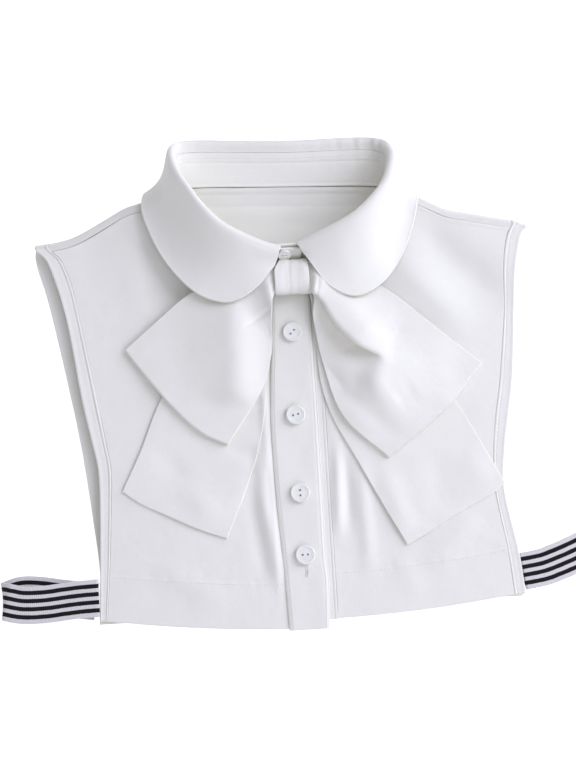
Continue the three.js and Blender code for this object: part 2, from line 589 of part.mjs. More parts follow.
// The band along an armhole, from the front hem over the shoulder fold to the back hem
function armholeBinding(side) {
  const hemY = side < 0 ? LEFT_FRONT.armholeHemY : RIGHT_FRONT.armholeHemY;
  const half = (1 - BINDING_TURN_SHARE) / 2;
  const radius = (FRONT_Z - BACK_Z) / 2;
  const point = (u, v) => {
    const topX = armholeX(side, 'front', SHOULDER_END_Y, u);
    const foldY = tableValue(BIB_TOP, 'x', 'y', topX);
    const flatEnd = foldY - radius;
    if (v < half) {
      const y = lerp(hemY, flatEnd, v / half);
      const x = armholeX(side, 'front', y, u);
      return new THREE.Vector3(x, y, frontHeight(x, y));
    }
    if (v > 1 - half) {
      const y = lerp(flatEnd, BACK_HEM_Y, (v - 1 + half) / half);
      return new THREE.Vector3(armholeX(side, 'back', y, u), y, BACK_Z);
    }
    const angle = Math.PI * (1 - (v - half) / BINDING_TURN_SHARE);
    return overFold(topX, foldY, BACK_Z, FRONT_Z, 1, angle * radius);
  };
  const shoulder = SHOULDER_ROWS_FROM * half;
  const flat = [...steps(0, shoulder, 12), ...steps(shoulder, half, 6).slice(1)];
  const vs = [...flat, ...steps(half, 1 - half, 5).slice(1, -1), ...flat.map((v) => 1 - v).reverse()];
  return sheet(point, steps(0, 1, 2), vs, BIB_CLOTH);
}

const PLACKET_Z = FRONT_Z + BIB_CLOTH / 2 + PLACKET_GAP + PLACKET_CLOTH / 2;

function placket() {
  const ends = { hem: PLACKET[0].y, top: PLACKET[PLACKET.length - 1].y };
  const point = (u, v) => {
    const y = lerp(ends.hem, ends.top, v);
    const x = lerp(tableValue(PLACKET, 'y', 'left', y), tableValue(PLACKET, 'y', 'right', y), u);
    return new THREE.Vector3(x, y, PLACKET_Z);
  };
  return sheet(point, steps(0, 1, 2), steps(0, 1, 14), PLACKET_CLOTH);
}

function underPlacket() {
  const band = UNDER_PLACKET;
  const point = (u, v) => {
    const outerX = band.outerX - band.taper * smoothstep(v, band.taperStart, 1);
    return new THREE.Vector3(lerp(band.innerX, outerX, u), lerp(band.hemY, band.topY, v), FRONT_Z);
  };
  return sheet(point, steps(0, 1, 1), [0, 0.5, band.taperStart, 1], BIB_CLOTH);
}

// A round button with a raised rim round a dished middle, and two holes where it has any, lying on Z = 0
function buttonGeometry({ radius, height, rim, dishRadius, holeRadius, holeSpacing }) {
  const shape = BUTTON_SHAPE;
  const dish = rim > 0 ? [[dishRadius * shape.floor, height - rim]] : [];
  const profile = [
    [0, 0],
    [radius * shape.base, 0],
    [radius, height * shape.widest],
    [radius * shape.top, height],
    [dishRadius, height],
    ...dish,
    [0, height - rim],
  ];
  const body = new THREE.LatheGeometry(profile.map(([r, z]) => new THREE.Vector2(r, z)), shape.sides);
  body.rotateX(Math.PI / 2);
  let solid = asManifold(body);
  if (holeRadius) {
    for (const side of [-1, 1]) {
      const hole = new THREE.CylinderGeometry(holeRadius, holeRadius, 3 * height, shape.holeSides);
      hole.rotateX(Math.PI / 2);
      hole.translate((side * holeSpacing) / 2, 0, height / 2);
      solid = solid.subtract(asManifold(hole));
    }
  }
  return fromManifold(solid);
}

function frontButtons() {
  return BUTTONS.map(({ x, y, turn }, i) => {
    const button = piece(`button_${i + 1}`, buttonGeometry(BUTTON), PEARL);
    button.position.set(x, y, PLACKET_Z + PLACKET_CLOTH / 2 + GAP);
    button.rotation.z = degToRad(turn);
    return button;
  });
}

// The small button that closes the stand, lying on its lapped front
function neckButton() {
  const neck = standPoint(0, 0);
  const seam = standPoint(0, 1);
  const rise = (NECK_BUTTON.y - neck.y) / (seam.y - neck.y);
  const lean = Math.atan2(seam.z - neck.z, seam.y - neck.y);
  const button = piece('neck_button', buttonGeometry(NECK_BUTTON), PEARL);
  const out = new THREE.Vector3(0, -Math.sin(lean), Math.cos(lean));
  button.rotation.x = lean;
  button.position.set(0, NECK_BUTTON.y, lerp(neck.z, seam.z, rise));
  button.position.addScaledVector(out, STAND_CLOTH / 2 + GAP);
  return button;
}

// A patch of the bow, seen from above: out from the knot (0) to the far edge (1), across from low to high
function bowPatch({ low, high, far }) {
  const curve = (points) => new THREE.CatmullRomCurve3(
    points.map(([x, y]) => new THREE.Vector3(x, y, 0)), false, 'centripetal');
  const lowCurve = curve(low);
  const highCurve = curve(high);
  const farCurve = curve(far);
  return (out, across) => {
    const straight = farCurve.getPoint(0).lerp(farCurve.getPoint(1), across);
    const bulge = farCurve.getPointAt(across).sub(straight);
    return lowCurve.getPointAt(out).lerp(highCurve.getPointAt(out), across).addScaledVector(bulge, out * out);
  };
}

function foldRelief(folds, out, across) {
  return folds.reduce((sum, fold) => {
    const rise = smoothstep(out, fold.from - FOLD_EASE.before, fold.from + FOLD_EASE.before);
    const fall = 1 - smoothstep(out, fold.to - FOLD_EASE.before, fold.to + FOLD_EASE.after);
    return sum + fold.height * rise * fall * Math.exp(-(((across - fold.across) / fold.width) ** 2));
  }, 0);
}

function bowTail(patch) {
  const plan = bowPatch(patch);
  const point = (across, out) => {
    const place = plan(out, across);
    const resting = frontHeight(place.x, place.y) + TAIL_REST + foldRelief(TAIL_FOLDS, out, across);
    return place.setZ(lerp(TAIL_AT_KNOT, resting, smoothstep(out, TAIL_SETTLE.start, TAIL_SETTLE.end)));
  };
  return sheet(point, steps(0, 1, 7), TAIL_STATIONS, RIBBON_CLOTH);
}

// A loop of ribbon: out over the top, round the far edge and back underneath
function bowLoop(patch, folds) {
  const plan = bowPatch(patch);
  const topShare = (1 - LOOP_TURN_SHARE) / 2;
  const settled = (out) => smoothstep(out, LOOP_SETTLE.start, LOOP_SETTLE.end);
  const lowerZ = (out) => lerp(LOOP_AT_KNOT.lower, LOOP_LOWER_Z, settled(out));
  const upperZ = (out, across) => {
    const open = lerp(LOOP_AT_KNOT.upper, LOOP_LOWER_Z + 2 * LOOP_FAR_RADIUS, settled(out));
    return open + foldRelief(folds, out, across);
  };
  const point = (across, v) => {
    if (v <= topShare) {
      const out = v / topShare;
      return plan(out, across).setZ(upperZ(out, across));
    }
    if (v >= 1 - topShare) {
      const out = (1 - v) / topShare;
      return plan(out, across).setZ(lowerZ(out));
    }
    const far = plan(1, across);
    const beyond = far.clone().sub(plan(1 - LAST_STRETCH, across)).setZ(0).normalize();
    const radius = (upperZ(1, across) - LOOP_LOWER_Z) / 2;
    const angle = (Math.PI * (v - topShare)) / LOOP_TURN_SHARE;
    far.addScaledVector(beyond, radius * Math.sin(angle));
    return far.setZ(LOOP_LOWER_Z + radius * (1 + Math.cos(angle)));
  };
  const way = LOOP_STATIONS.map((out) => out * topShare);
  const turn = steps(topShare, 1 - topShare, 4).slice(1, -1);
  const vs = [...way, ...turn, ...way.map((v) => 1 - v).reverse()];
  return sheet(point, steps(0, 1, 8), vs, RIBBON_CLOTH);
}

// The band round the middle of the bow, a rounded ring about the X axis
function bowKnot() {
  const { squareness, waist, sides } = KNOT_SHAPE;
  const power = 2 / squareness;
  const shaped = (value) => Math.sign(value) * Math.abs(value) ** power;
  const point = (u, v) => {
    const angle = 2 * Math.PI * u;
    const drawn = 1 - waist * Math.sin(Math.PI * v);
    return new THREE.Vector3(
      KNOT.x + lerp(-KNOT.halfLength, KNOT.halfLength, v),
      KNOT.y + drawn * KNOT.halfWidth * shaped(Math.cos(angle)),
      KNOT.z + drawn * KNOT.halfHeight * shaped(Math.sin(angle)),
    );
  };
  const us = steps(0, 1, sides).map((u) => u + 0.5 / sides);
  return sheet(point, us, steps(0, 1, 4), KNOT_CLOTH, { ring: true });
}

// An elastic loop: out from the front hem, round its end and back to the back hem
function strap({ front, back }) {
  const curve = (points) => new THREE.CatmullRomCurve3(
    points.map(([x, y]) => new THREE.Vector3(x, y, 0)), false, 'centripetal');
  const frontLine = curve(front);
  const backLine = curve(back);
  const lowerZ = ELASTIC / 2;
  const radius = (FRONT_Z - lowerZ) / 2;
  const half = (1 - STRAP_TURN_SHARE) / 2;
  const point = (u, v) => {
    const across = STRAP_WIDTH * (0.5 - u);
    const upper = v < 0.5;
    const line = upper ? frontLine : backLine;
    const share = upper ? Math.min(1, v / half) : Math.max(0, (v - 1 + half) / half);
    const place = line.getPoint(share);
    const tangent = line.getTangent(share);
    const heading = upper ? tangent : tangent.negate();
    const angle = clamp((v - half) / STRAP_TURN_SHARE, 0, 1) * Math.PI;
    place.addScaledVector(heading, radius * Math.sin(angle));
    place.addScaledVector(new THREE.Vector3(-heading.y, heading.x, 0), across * Math.sign(heading.x));
    return place.setZ(lowerZ + radius * (1 + Math.cos(angle)));
  };
  const flat = steps(0, half, 5);
  const vs = [...flat, ...steps(half, 1 - half, 6).slice(1, -1), ...flat.map((v) => 1 - v).reverse()];
  return sheet(point, steps(0, 1, 2), vs, ELASTIC);
}

const collar = new THREE.Group();
collar.add(
  piece('back_panel', backPanel(), LINING),
  piece('front_panel_left', frontPanel(-1), FABRIC),
  piece('front_panel_right', frontPanel(1), FABRIC),
  piece('armhole_binding_left', armholeBinding(-1), FABRIC),
  piece('armhole_binding_right', armholeBinding(1), FABRIC),
  piece('placket', placket(), FABRIC),
  piece('under_placket', underPlacket(), FABRIC),
  piece('collar_stand', collarStand(), FABRIC),
  piece('collar_leaf', collarLeaf(), FABRIC),
  piece('bow_tail_left', bowTail(BOW_PATCHES.tailLeft), FABRIC),
  piece('bow_tail_right', bowTail(BOW_PATCHES.tailRight), FABRIC),
  piece('bow_loop_left', bowLoop(BOW_PATCHES.loopLeft, LOOP_FOLDS_LEFT), FABRIC),
  piece('bow_loop_right', bowLoop(BOW_PATCHES.loopRight, LOOP_FOLDS_RIGHT), FABRIC),
  piece('bow_knot', bowKnot(), FABRIC),
  piece('strap_left', strap(STRAP_LEFT), STRIPES),
  piece('strap_right', strap(STRAP_RIGHT), STRIPES),
  neckButton(),
  ...frontButtons(),
);
collar.position.set(-OUTLINE_CENTRE.x, -OUTLINE_CENTRE.y, 0);

export default collar;
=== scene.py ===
# A detachable shirt collar laid flat, front upwards: a rounded collar on its stand, a bib with a button
# front, a soft bow and two striped elastic loops. Tables are in millimetres in the drawing's own frame,
# +X to the right, +Y towards the nape, and every piece is made in metres in the frame of the model.
import math

import bpy
import numpy as np
from mathutils import Matrix, Vector


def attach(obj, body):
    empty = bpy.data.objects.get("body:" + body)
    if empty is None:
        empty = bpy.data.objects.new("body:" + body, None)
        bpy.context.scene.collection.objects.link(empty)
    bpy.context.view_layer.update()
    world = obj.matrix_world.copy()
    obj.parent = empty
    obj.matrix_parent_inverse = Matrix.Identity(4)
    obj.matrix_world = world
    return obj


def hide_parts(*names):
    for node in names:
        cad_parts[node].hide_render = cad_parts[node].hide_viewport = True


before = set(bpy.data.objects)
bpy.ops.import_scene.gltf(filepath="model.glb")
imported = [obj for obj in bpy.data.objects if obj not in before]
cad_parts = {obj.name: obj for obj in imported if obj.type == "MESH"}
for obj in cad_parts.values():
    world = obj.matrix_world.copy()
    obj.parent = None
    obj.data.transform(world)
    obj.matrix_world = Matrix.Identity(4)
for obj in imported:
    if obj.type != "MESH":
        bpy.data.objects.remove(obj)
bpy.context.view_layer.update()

MM = 0.001
OUTLINE_CENTRE = np.array([0.0, 3.35, 0.0])

# Cloth thicknesses
BIB_CLOTH = 1.0
STAND_CLOTH = 1.6
LEAF_CLOTH = 1.4
BAND_CLOTH = 0.9
RIBBON_CLOTH = 0.8
WRAP_CLOTH = 1.3
ELASTIC = 1.2

# Clearances of sewn and lying pieces, and the small bevel of an edge that is sewn to its neighbour
GAP = 0.3
SEAM_GAP = 0.08
SHOULDER_SEAM_GAP = 0.05
LEAF_SEAM_GAP = 0.05
SEAM_BEVEL = 0.09

# Heights of the middle of the cloth. At the nape the back rises over a run below its top edge, within a half
# width, and its very edge is tucked up to the stand.
BACK_Z = BIB_CLOTH / 2
FRONT_Z = 6.0
BAND_Z = {"edge": 6.78, "body": 7.66}
BAND_SLOPE = 2.6
NAPE_LIFT = 2.3
NAPE_LIFT_RUN = (8, 23)
NAPE_LIFT_HALF_WIDTH = (84, 91)
NAPE_TUCK = {"length": 1.65, "rise": 1.1, "reach": 3.0}

# The bib. WRAP_SHARE and NECK_EDGE_SHARE are the shares of a panel's own length that go over the shoulder
# and along the neck, and NECK_POINT is where the flat nape passes into the shoulder, left and right.
BACK_WIDTH = 300
BACK_HEM_Y = -137
BACK_HEM_LIFT = {"from_x": 40, "to_x": 112, "rise": 2.6}
BACK_SETTLED = 0.1
CALM_BESIDE_BAND = (13, 21)
SHOULDER_END_Y = 94
SHOULDER_WRAP = 5.5
WRAP_SHARE = 0.2
BACK_EDGE_RUN = 10
NECK_POINT = (61, 71)
HEM_DIP = 1.7
HEM_DIP_REACH = 0.3
SHOULDER_SHAPING = 0.8
NECK_EDGE_INSET = 1.7
NECK_EDGE_SHARE = 0.3
BINDING_TURN_SHARE = 0.14
ARMHOLE_TURN = (84, 94)
FRONT = {
    -1: {"centre_x": -10, "centre_hem": -146.4, "armhole_hem": -135.6, "neck_section": 0.45},
    1: {"centre_x": 17, "centre_hem": -141.6, "armhole_hem": -133.6, "neck_section": 20.82},
}
HEM_DEPTH = 27.5

# Relief of hems and seams by the distance from their edge: cloth that is doubled up to a soft step, as its
# height and the two ends of the step, and ridges, or grooves below zero, as their place, width and height.
# Places and widths at the armholes and on the stand are shares of the cloth's width.
HEMS = {
    "back hem": {"ridges": [(HEM_DEPTH, 0.5, -0.2)]},
    "front hem": {
        "doubled": (0.15, HEM_DEPTH - 0.5, HEM_DEPTH + 0.5),
        "ridges": [(HEM_DEPTH + 0.2, 0.5, -0.16)],
    },
    "left shoulder": {"ridges": [(1.0, 0.7, 0.08)]},
    "right shoulder": {"ridges": [(1.0, 0.7, 0.26)]},
    "armhole seam": {"ridges": [(0.11, 0.08, 0.3), (0.24, 0.045, -0.2)]},
    "armhole edge": {"ridges": [(0.88, 0.14, 0.22)]},
    "band fold": {"doubled": (0.14, 1.2, 1.8), "ridges": [(2.0, 0.4, -0.14)]},
    "band edge": {"doubled": (0.14, 1.6, 2.2), "ridges": [(2.4, 0.4, -0.14)]},
    "under band": {"ridges": [(0.9, 0.5, 0.14), (1.9, 0.4, -0.12)]},
    "neck seam": {"ridges": [(0.04, 0.04, 0.35), (0.1, 0.02, -0.25), (0.7, 0.03, -0.28)]},
    "leaf edge": {"doubled": (0.06, 0.9, 1.8), "ridges": [(1.9, 0.5, -0.06)]},
}
HEM_PUCKERS = {"height": 0.12, "stretch": 0.4, "size": 3.4, "seed": 61, "reach": 4}
ARMHOLE_WIDTH = 8
ARMHOLE_PUCKERS = {"share": 0.3, "length": 260, "size": 7, "seed": 51}

# Soft unevenness of the cloths, in layers of a height, the size of the features and a seed
UNEVEN = {
    "back": [(0.1, 23, 5)],
    "left front": [(0.3, 31, 10), (0.1, 9, 20)],
    "right front": [(0.3, 31, 12), (0.1, 9, 22)],
    "button band": [(0.13, 11, 3)],
    "leaf": [(0.35, 26, 8), (0.1, 8, 9)],
    "tail": [(0.3, 19, 31), (0.08, 7, 32)],
    "loop": [(0.35, 21, 71), (0.1, 8, 72)],
    "wrap": [(0.12, 6, 41)],
}


def table(names, rows):
    """Rows of numbers under named columns."""
    return dict(zip(names.split(), np.array(rows, float).T))


BIB_TOP = table("x y", [
    (-154, 93.6), (-140, 95.2), (-129, 97.8), (-118, 103.0), (-107, 109.0), (-97, 114.2), (-88, 116.6),
    (-76, 118.2), (-68, 119.6), (-57, 122.6), (-30, 121.6), (0, 120.3), (30, 118.8), (55, 117.2),
    (66, 115.2), (78, 112.4), (87, 108.0), (98, 102.5), (110, 99.4), (126, 95.7), (138, 92.9), (145, 90.0),
])
ARMHOLE = {
    -1: table("y front_inner front_outer back_inner back_outer", [
        (-137, 118.6, 122.8, 117.6, 123.6),
        (-109, 116.1, 121.6, 115.6, 122.0),
        (-70, 113.5, 120.1, 118.5, 125.5),
        (-46, 112.6, 120.2, 120.6, 128.2),
        (-28, 115.2, 123.4, 122.6, 130.6),
        (-4, 119.0, 128.0, 126.6, 134.6),
        (40, 126.4, 134.4, 134.6, 142.7),
        (64, 130.8, 139.6, 139.8, 147.8),
        (80, 135.8, 144.6, 144.4, 152.2),
        (94, 143.6, 151.2, 146.2, 154.6),
    ]),
    1: table("y front_inner front_outer back_inner back_outer", [
        (-137, 121.7, 128.4, 121.0, 127.2),
        (-109, 119.6, 126.2, 119.0, 125.0),
        (-70, 114.5, 120.4, 113.4, 119.4),
        (-46, 115.6, 122.6, 114.8, 121.6),
        (-28, 118.0, 126.0, 117.4, 125.0),
        (-4, 122.6, 130.4, 121.8, 129.4),
        (40, 128.6, 134.9, 127.2, 134.0),
        (64, 130.0, 137.6, 129.2, 136.8),
        (80, 132.6, 141.4, 131.8, 140.6),
        (94, 137.6, 146.4, 137.0, 145.4),
    ]),
}

# Soft folds, each a ridge (or a hollow, below zero) along a line in plan that fades in and out at both ends
FOLD_COLUMNS = "from_x from_y to_x to_y width height"
FOLD_FADES_IN = (-0.1, 0.35)
FOLD_FADES_OUT = (0.65, 1.1)
FRONT_FOLDS = table(FOLD_COLUMNS, [
    (74, 100, 130, 36, 12.5, -3.0),
    (64, 74, 108, 22, 10, 2.0),
    (22.6, -36, 20.5, -96, 3.2, 1.9),
    (27.5, -44, 27.5, -92, 2.8, -0.8),
    (35.5, -50, 37.5, -116, 4.8, 1.5),
    (-22.4, -34, -22.8, -84, 4.2, 1.6),
    (-22.6, -66, -15.6, -124, 4.4, 2.0),
    (-31.5, -60, -24, -118, 4.4, -0.8),
    (-84, 106, -62, 46, 13, -2.7),
    (-95, 108, -78, 46, 9, -1.4),
    (-118, 112, -98, 40, 22, -1.9),
    (-19.4, 4, -19.4, -58, 2.4, 1.0),
    (-12.5, 90, -12.5, -175, 3, -0.35),
    (-17.6, -30, -17.2, -134, 1.4, 0.4),
    (-90, -104, -46, -130, 8, 0.9),
    (72, -116, 102, -84, 9, 1.0),
    (52, -104, 66, -132, 7, 0.6),
])

# The sections of the collar round the neck: the neck seam, the top of the turn-down, the leaf's outer
# edge, and how far the seam between stand and leaf lies inside the fold
SECTIONS = table("neck_x neck_y neck_z fold_x fold_y fold_z edge_x edge_y edge_z roll", [
    (-6, 73.6, 7.8, -5, 78, 21.5, -8.2, 69.8, 18.6, 4),
    (-15, 74.4, 7.8, -15.2, 81.3, 24, -19.5, 57.2, 19.2, 4),
    (-28, 77.4, 7.8, -28.8, 87.9, 27, -36, 49, 18, 4),
    (-41, 83.2, 7.8, -40.2, 95.4, 29, -54, 54.6, 16.1, 3.5),
    (-54, 92, 8, -51.3, 107.7, 31, -72.5, 75.2, 11.6, 3),
    (-63.5, 102, 8.6, -58.3, 118.6, 31, -83.3, 97.2, 9.8, 3),
    (-68, 113.3, 9.2, -63, 126.3, 30, -87.2, 112.5, 9.6, 3),
    (-68.6, 117.5, 8.6, -65.6, 132.5, 28, -84.6, 122.4, 4.8, 3),
    (-67.8, 121, 7.4, -67, 139.5, 25, -75.5, 120, 0.8, 2),
    (-64.5, 123.8, 5.8, -65.8, 147, 19, -65, 119.5, 0.8, 1),
    (-57, 124.6, 4.6, -60, 150.6, 13, -54, 120.5, 0.8, 0),
    (0, 122.3, 3.8, 2, 147.8, 11.3, 0, 117.5, 0.8, 0),
    (55, 119.3, 4.6, 54, 146.3, 13, 50, 115, 0.8, 0),
    (62.5, 117.6, 5.8, 62.8, 142.6, 17.5, 62, 112.5, 0.8, 1),
    (65.8, 114.8, 7.4, 66, 135.5, 23, 73, 112.5, 0.8, 2),
    (66.6, 110.8, 8.6, 65.6, 129.5, 26.5, 81.6, 117.4, 5.5, 3),
    (66.3, 107.2, 9.2, 64, 123.5, 28.5, 80.8, 107, 9.2, 3),
    (62.5, 98, 8.6, 60, 114.4, 30, 76.9, 92, 8.6, 3),
    (53.5, 90.4, 8, 53.8, 106.5, 31, 68.1, 72.4, 10.4, 3),
    (41, 82.8, 7.8, 42.6, 96.4, 30, 55.5, 56.2, 15.4, 3.5),
    (28, 77.4, 7.8, 30.4, 89.7, 28, 39, 48.5, 18, 4),
    (15, 74.4, 7.8, 18.3, 84.5, 25, 24, 55, 19.2, 4),
    (6, 73.6, 7.8, 6.8, 79.5, 22, 9.2, 76.5, 21, 4),
])
LAST_SECTION = len(SECTIONS["roll"]) - 1
SHOULDER_SECTION = {-1: 6, 1: 16}
STAND_SHARE = 0.78
ROLL_REACH = 5.5
ROLL_LIMIT = 0.45
ROLL_EASE = 0.4
EDGE_REACH = 0.6
FOLD_FALL = 0.2
LEAF_LOWEST = LEAF_CLOTH / 2 + 0.02
LEAF_SHOWN = (FOLD_FALL, FOLD_FALL + 0.15)
LEAF_INSIDE = (FOLD_FALL * 0.9, FOLD_FALL * 1.6)
LEAF_CALM_BELOW = (2, 5)
LAP_LENGTH = 13
LAP_OFFSET = 1.15
STAND_STEP = {"height": 0.22, "from": 0.7, "to": 0.76}

# Small upright puckers in the collar close to the two corners of the nape, by sections, and the two waves
# that make them
NAPE_SECTIONS = ((7, 9), (13, 15))
PUCKERED_CORNERS = [(9.4, 0.5, 0.6), (12.3, 0.7, 0.9)]
PUCKERED_NAPE = 0.08
PUCKER_WAVES = {"first": 0.66, "second": 1.17, "shift": 1.3, "share": 0.5}
STAND_PUCKERS = 0.12
STAND_PUCKERS_RISE = (0.2, 0.9)
LEAF_PUCKERS = 0.3

# The button band and the band under it, the buttons and their holes
BAND = table("y left right", [
    (-147.4, -12.0, 11.5),
    (-119, -13.0, 12.8),
    (-106, -13.5, 11.9),
    (-67, -15.4, 12.0),
    (-20, -15.9, 12.2),
    (32, -12.8, 11.9),
    (70, -12.4, 12.0),
])
BAND_SWAY = {"height": 0.18, "length": 19.0, "hollow": 0.12}
BAND_FINER_ACROSS = 1.6
BAND_WIDTH, BAND_LENGTH = 26, 218
UNDER_BAND = {"inner_x": 4, "outer_x": 16.95, "hem_y": -142, "top_y": 70, "taper": 3, "taper_from": 0.9}
BUTTONS = table("x y turn", [(0, 30.6, 45), (-1, -19.8, 12), (-1, -66.7, 90), (-0.2, -103.5, 0)])
BUTTON_Z = 8.6
BUTTON = {"radius": 5.8, "height": 1.9, "rim": 0.34, "dish": 4.3, "hole": 0.62, "spacing": 3.1}
THROAT_BUTTON = {"radius": 4.0, "height": 1.6, "rim": 0.3, "dish": 2.8, "hole": 0.5, "spacing": 2.0}
THROAT_BUTTON_X = -2.2
THROAT_BUTTON_Y = 77.9
TURNING = {"foot": 0.86, "shoulder": 0.4, "lip": 0.5, "crown": (0.15, math.pi - 0.6), "hollow": (-0.2, 0.3)}
BUTTON_SIDES = 72
DRILL_SIDES = 24
SHARP_ANGLE = math.radians(40)
BUTTONHOLES = table("x y half", [(0, 30.6, 5), (-1, -19.8, 5), (-1, -66.7, 5), (0.4, -109.6, 6)])
BUTTONHOLE = {"slit": 0.24, "slit_half": 5, "bead": 0.85, "pitch": 0.36, "height": 0.3, "slant": 0.08}
BUTTONHOLE_BAR = {"length": 1.9, "from": -0.5, "to": 0.1, "stitches": 3}
BUTTONHOLE_LIFT = {"slit": 0.02, "stitches": 0.06, "bar": 0.09}
SLIT_DEPTH = 0.3
BAND_TOP = BAND_Z["body"] + BAND_CLOTH / 2
STITCH = {"pitch": 2.4, "length": 1.75, "width": 0.34, "height": 0.238, "lift": 0.05}

# The bow: each patch runs out from the knot between a low edge, on the button side, and a high one
BOW = {
    "left loop": {
        "low": [(-1, 54.4), (-9, 53.6), (-11.9, 40), (-12.6, 22), (-19, -1), (-41.6, -34.9)],
        "high": [(-1, 69.6), (-9, 69.8), (-32, 66), (-59.2, 57.7), (-80, 42.6), (-100.3, 25.9)],
        "far": [(-41.6, -34.9), (-57, -26.7), (-73.5, -10.1), (-87.5, 8.1), (-100.3, 25.9)],
    },
    "right loop": {
        "low": [(3, 54.4), (11, 53.6), (13, 36), (17, 11), (27.2, -22.2), (52.2, -48)],
        "high": [(3, 69.6), (11, 69.8), (32, 66), (56, 54.6), (84, 30.4), (111.7, 6)],
        "far": [(52.8, -47.8), (74.7, -31.4), (93.4, -15.5), (104, -2.5), (111.7, 6)],
    },
    "left tail": {
        "low": [(-1, 57), (-9, 56), (-16, 34), (-18.4, -12.5), (-26.5, -46), (-45.5, -91.3)],
        "high": [(-1, 67.4), (-9, 67.2), (-48, 40), (-80.3, -4.4), (-94.4, -35.8), (-106.3, -59.7)],
        "far": [(-45.5, -91.3), (-64.4, -83.8), (-81.9, -74.9), (-95.9, -67.6), (-106.3, -59.7)],
    },
    "right tail": {
        "low": [
            (3, 57), (10, 56), (13.6, 34), (14.8, 2), (20, -20), (35.4, -52), (46.6, -74.5), (60.4, -101.1),
        ],
        "high": [(3, 67.4), (11, 67.2), (54, 40), (93.7, -15.1), (108, -41.5), (120.9, -67.7)],
        "far": [(60.4, -101.1), (76.1, -93), (94.3, -82.7), (113.3, -73.3), (120.9, -67.7)],
    },
}

# How the bow lies: the heights of its layers, how soon they settle from the knot to their rest, and how the
# two layers of a loop part, droop and turn into each other
TAIL_WIDTH, TAIL_LENGTH = 74, 150
LOOP_WIDTH = 90
TAIL_REST = 1.5
TAIL_AT_KNOT = 11.7
TAIL_SETTLE = (0.06, 0.16)
LOOP_LOWER_Z = 9.1
LOOP_UPPER_Z = {"left loop": 10.2, "right loop": 11.0}
LOOP_PUFF = 1.1
LOOP_END = {"from": 0.72, "gap": 1.15, "kept": {"left loop": 0.45, "right loop": 0.65}}
LOOP_DROOP = {"out": (0.55, 1.0), "across": (0.55, 0.85), "end": 0.2, "corner": 1.7}
LOOP_LOW_EDGE = {"across": 0.3, "fall": 0.3, "gap": 1.1}
LOOP_MOUTH = {"place": 0.14, "reach": 0.06, "height": 1.5, "across": (0.35, 0.8)}
LOOP_AT_KNOT = {"lower": 13.2, "upper": 16.2}
LOOP_SETTLE = (0.1, 0.38)
LOOP_LIFTS_FROM_KNOT = (0.05, 0.13)
LOOP_TURN_SHARE = 0.1
LOOP_LAYER_GAP = 0.9
LAST_STRETCH = 0.02
TAIL_UNEVEN_FROM = (0.2, 0.4)
LOOP_FOLDS = {
    "left loop": table(FOLD_COLUMNS, [
        (-41, 62, -42, -30, 22, 3.9),
        (-33, 70, -33, -24, 10.5, 3.4),
        (-94, 34, -84, -4, 12, 1.6),
        (-10, 45, -30, 33, 1.5, -0.9),
        (-64, -9, -24, -16, 6, -1.5),
    ]),
    "right loop": table(FOLD_COLUMNS, [
        (56, 28, 44, -34, 21, 4.0),
        (53.5, 20, 44.5, -16, 6.5, 1.8),
        (9, 12, 62, -38, 6, -1.9),
        (30, 4, 52, -19, 5.5, -1.3),
        (17.4, 74, 17.6, 46, 1.0, -0.7),
        (58, -16, 72, -8, 7, -0.9),
        (88, 22, 84, -8, 10, 0.9),
    ]),
}
TAIL_FOLDS = {
    "left tail": table(FOLD_COLUMNS, [
        (-86, -36, -54, -66, 7, -0.9),
        (-44, -36, -20, -46, 5, -0.7),
        (-26, -58, -38, -80, 6, -0.8),
        (-70, -44, -52, -84, 9, 1.2),
    ]),
    "right tail": table(FOLD_COLUMNS, [
        (48, -52, 62, -96, 7, 1.3),
        (78, -46, 86, -86, 8, -0.8),
        (100, -42, 108, -70, 8, 0.8),
    ]),
}

# The pleat of the right loop: its cloth turns over itself along a line that runs out from the knot
PLEAT = {
    "line": [
        (8.5, 53.5), (14, 51.8), (18.5, 47.5), (25, 37.6), (34, 26), (43, 17), (51.5, 11), (58, 7.6),
    ],
    "width": 4.4, "overhang": 11.5, "height": 7.8, "hollow": 3.5, "above": 15.0, "below": 9.0,
    "near_knot": 0.5, "rises": (0.1, 0.42), "fades": (0.6, 1.0),
}
WRAP = {"left": -8.9, "right": 12.0, "y": 63.2, "z": 14.4, "width": 10.1, "height": 4.6}
WRAP_SQUARENESS = 3.0
WRAP_COVERED = {"left": 3.4, "right": 0.8, "from_y": 66, "to_y": 75}
WRAP_WAIST = {"across": 0.02, "depth": 0.16, "place": 0.38, "width": 0.36, "front": 0.6}

# Folds drawn round the wrap: the place and width in shares of its breadth, the height, and the side to which
# the fold drifts first
WRAP_FOLDS = [
    (0.2, 0.1, 0.2, 1), (0.42, 0.04, -0.14, -1), (0.5, 0.06, 0.1, 1),
    (0.68, 0.06, -0.1, 1), (0.85, 0.08, 0.16, -1),
]
WRAP_DRIFT = {"share": 0.03, "shift": 0.7}
WRAP_CUT = (60, 20)

# The middle line of each elastic loop
STRAP_WIDTH = 22
STRAP_TURN_SHARE = 0.16
STRAPS = {
    "left": {
        "front": [
            (-122.8, -121.6), (-133.7, -121.9), (-142.3, -122.5),
            (-155.3, -123.5), (-168.2, -123.1), (-176.4, -121.2),
        ],
        "back": [
            (-176.4, -119), (-168.7, -116.8), (-158.1, -117.5),
            (-146.4, -119.7), (-137.5, -121.2), (-124.8, -123.4),
        ],
    },
    "right": {
        "front": [
            (127.6, -120.3), (133.4, -119.6), (140.6, -118.4), (147.9, -116.1),
            (155.8, -113.3), (165, -109.6), (173.9, -106),
        ],
        "back": [
            (173.9, -105.8), (165, -109.2), (155.8, -112.9),
            (147.9, -115.7), (140.6, -118), (127.4, -120),
        ],
    },
}

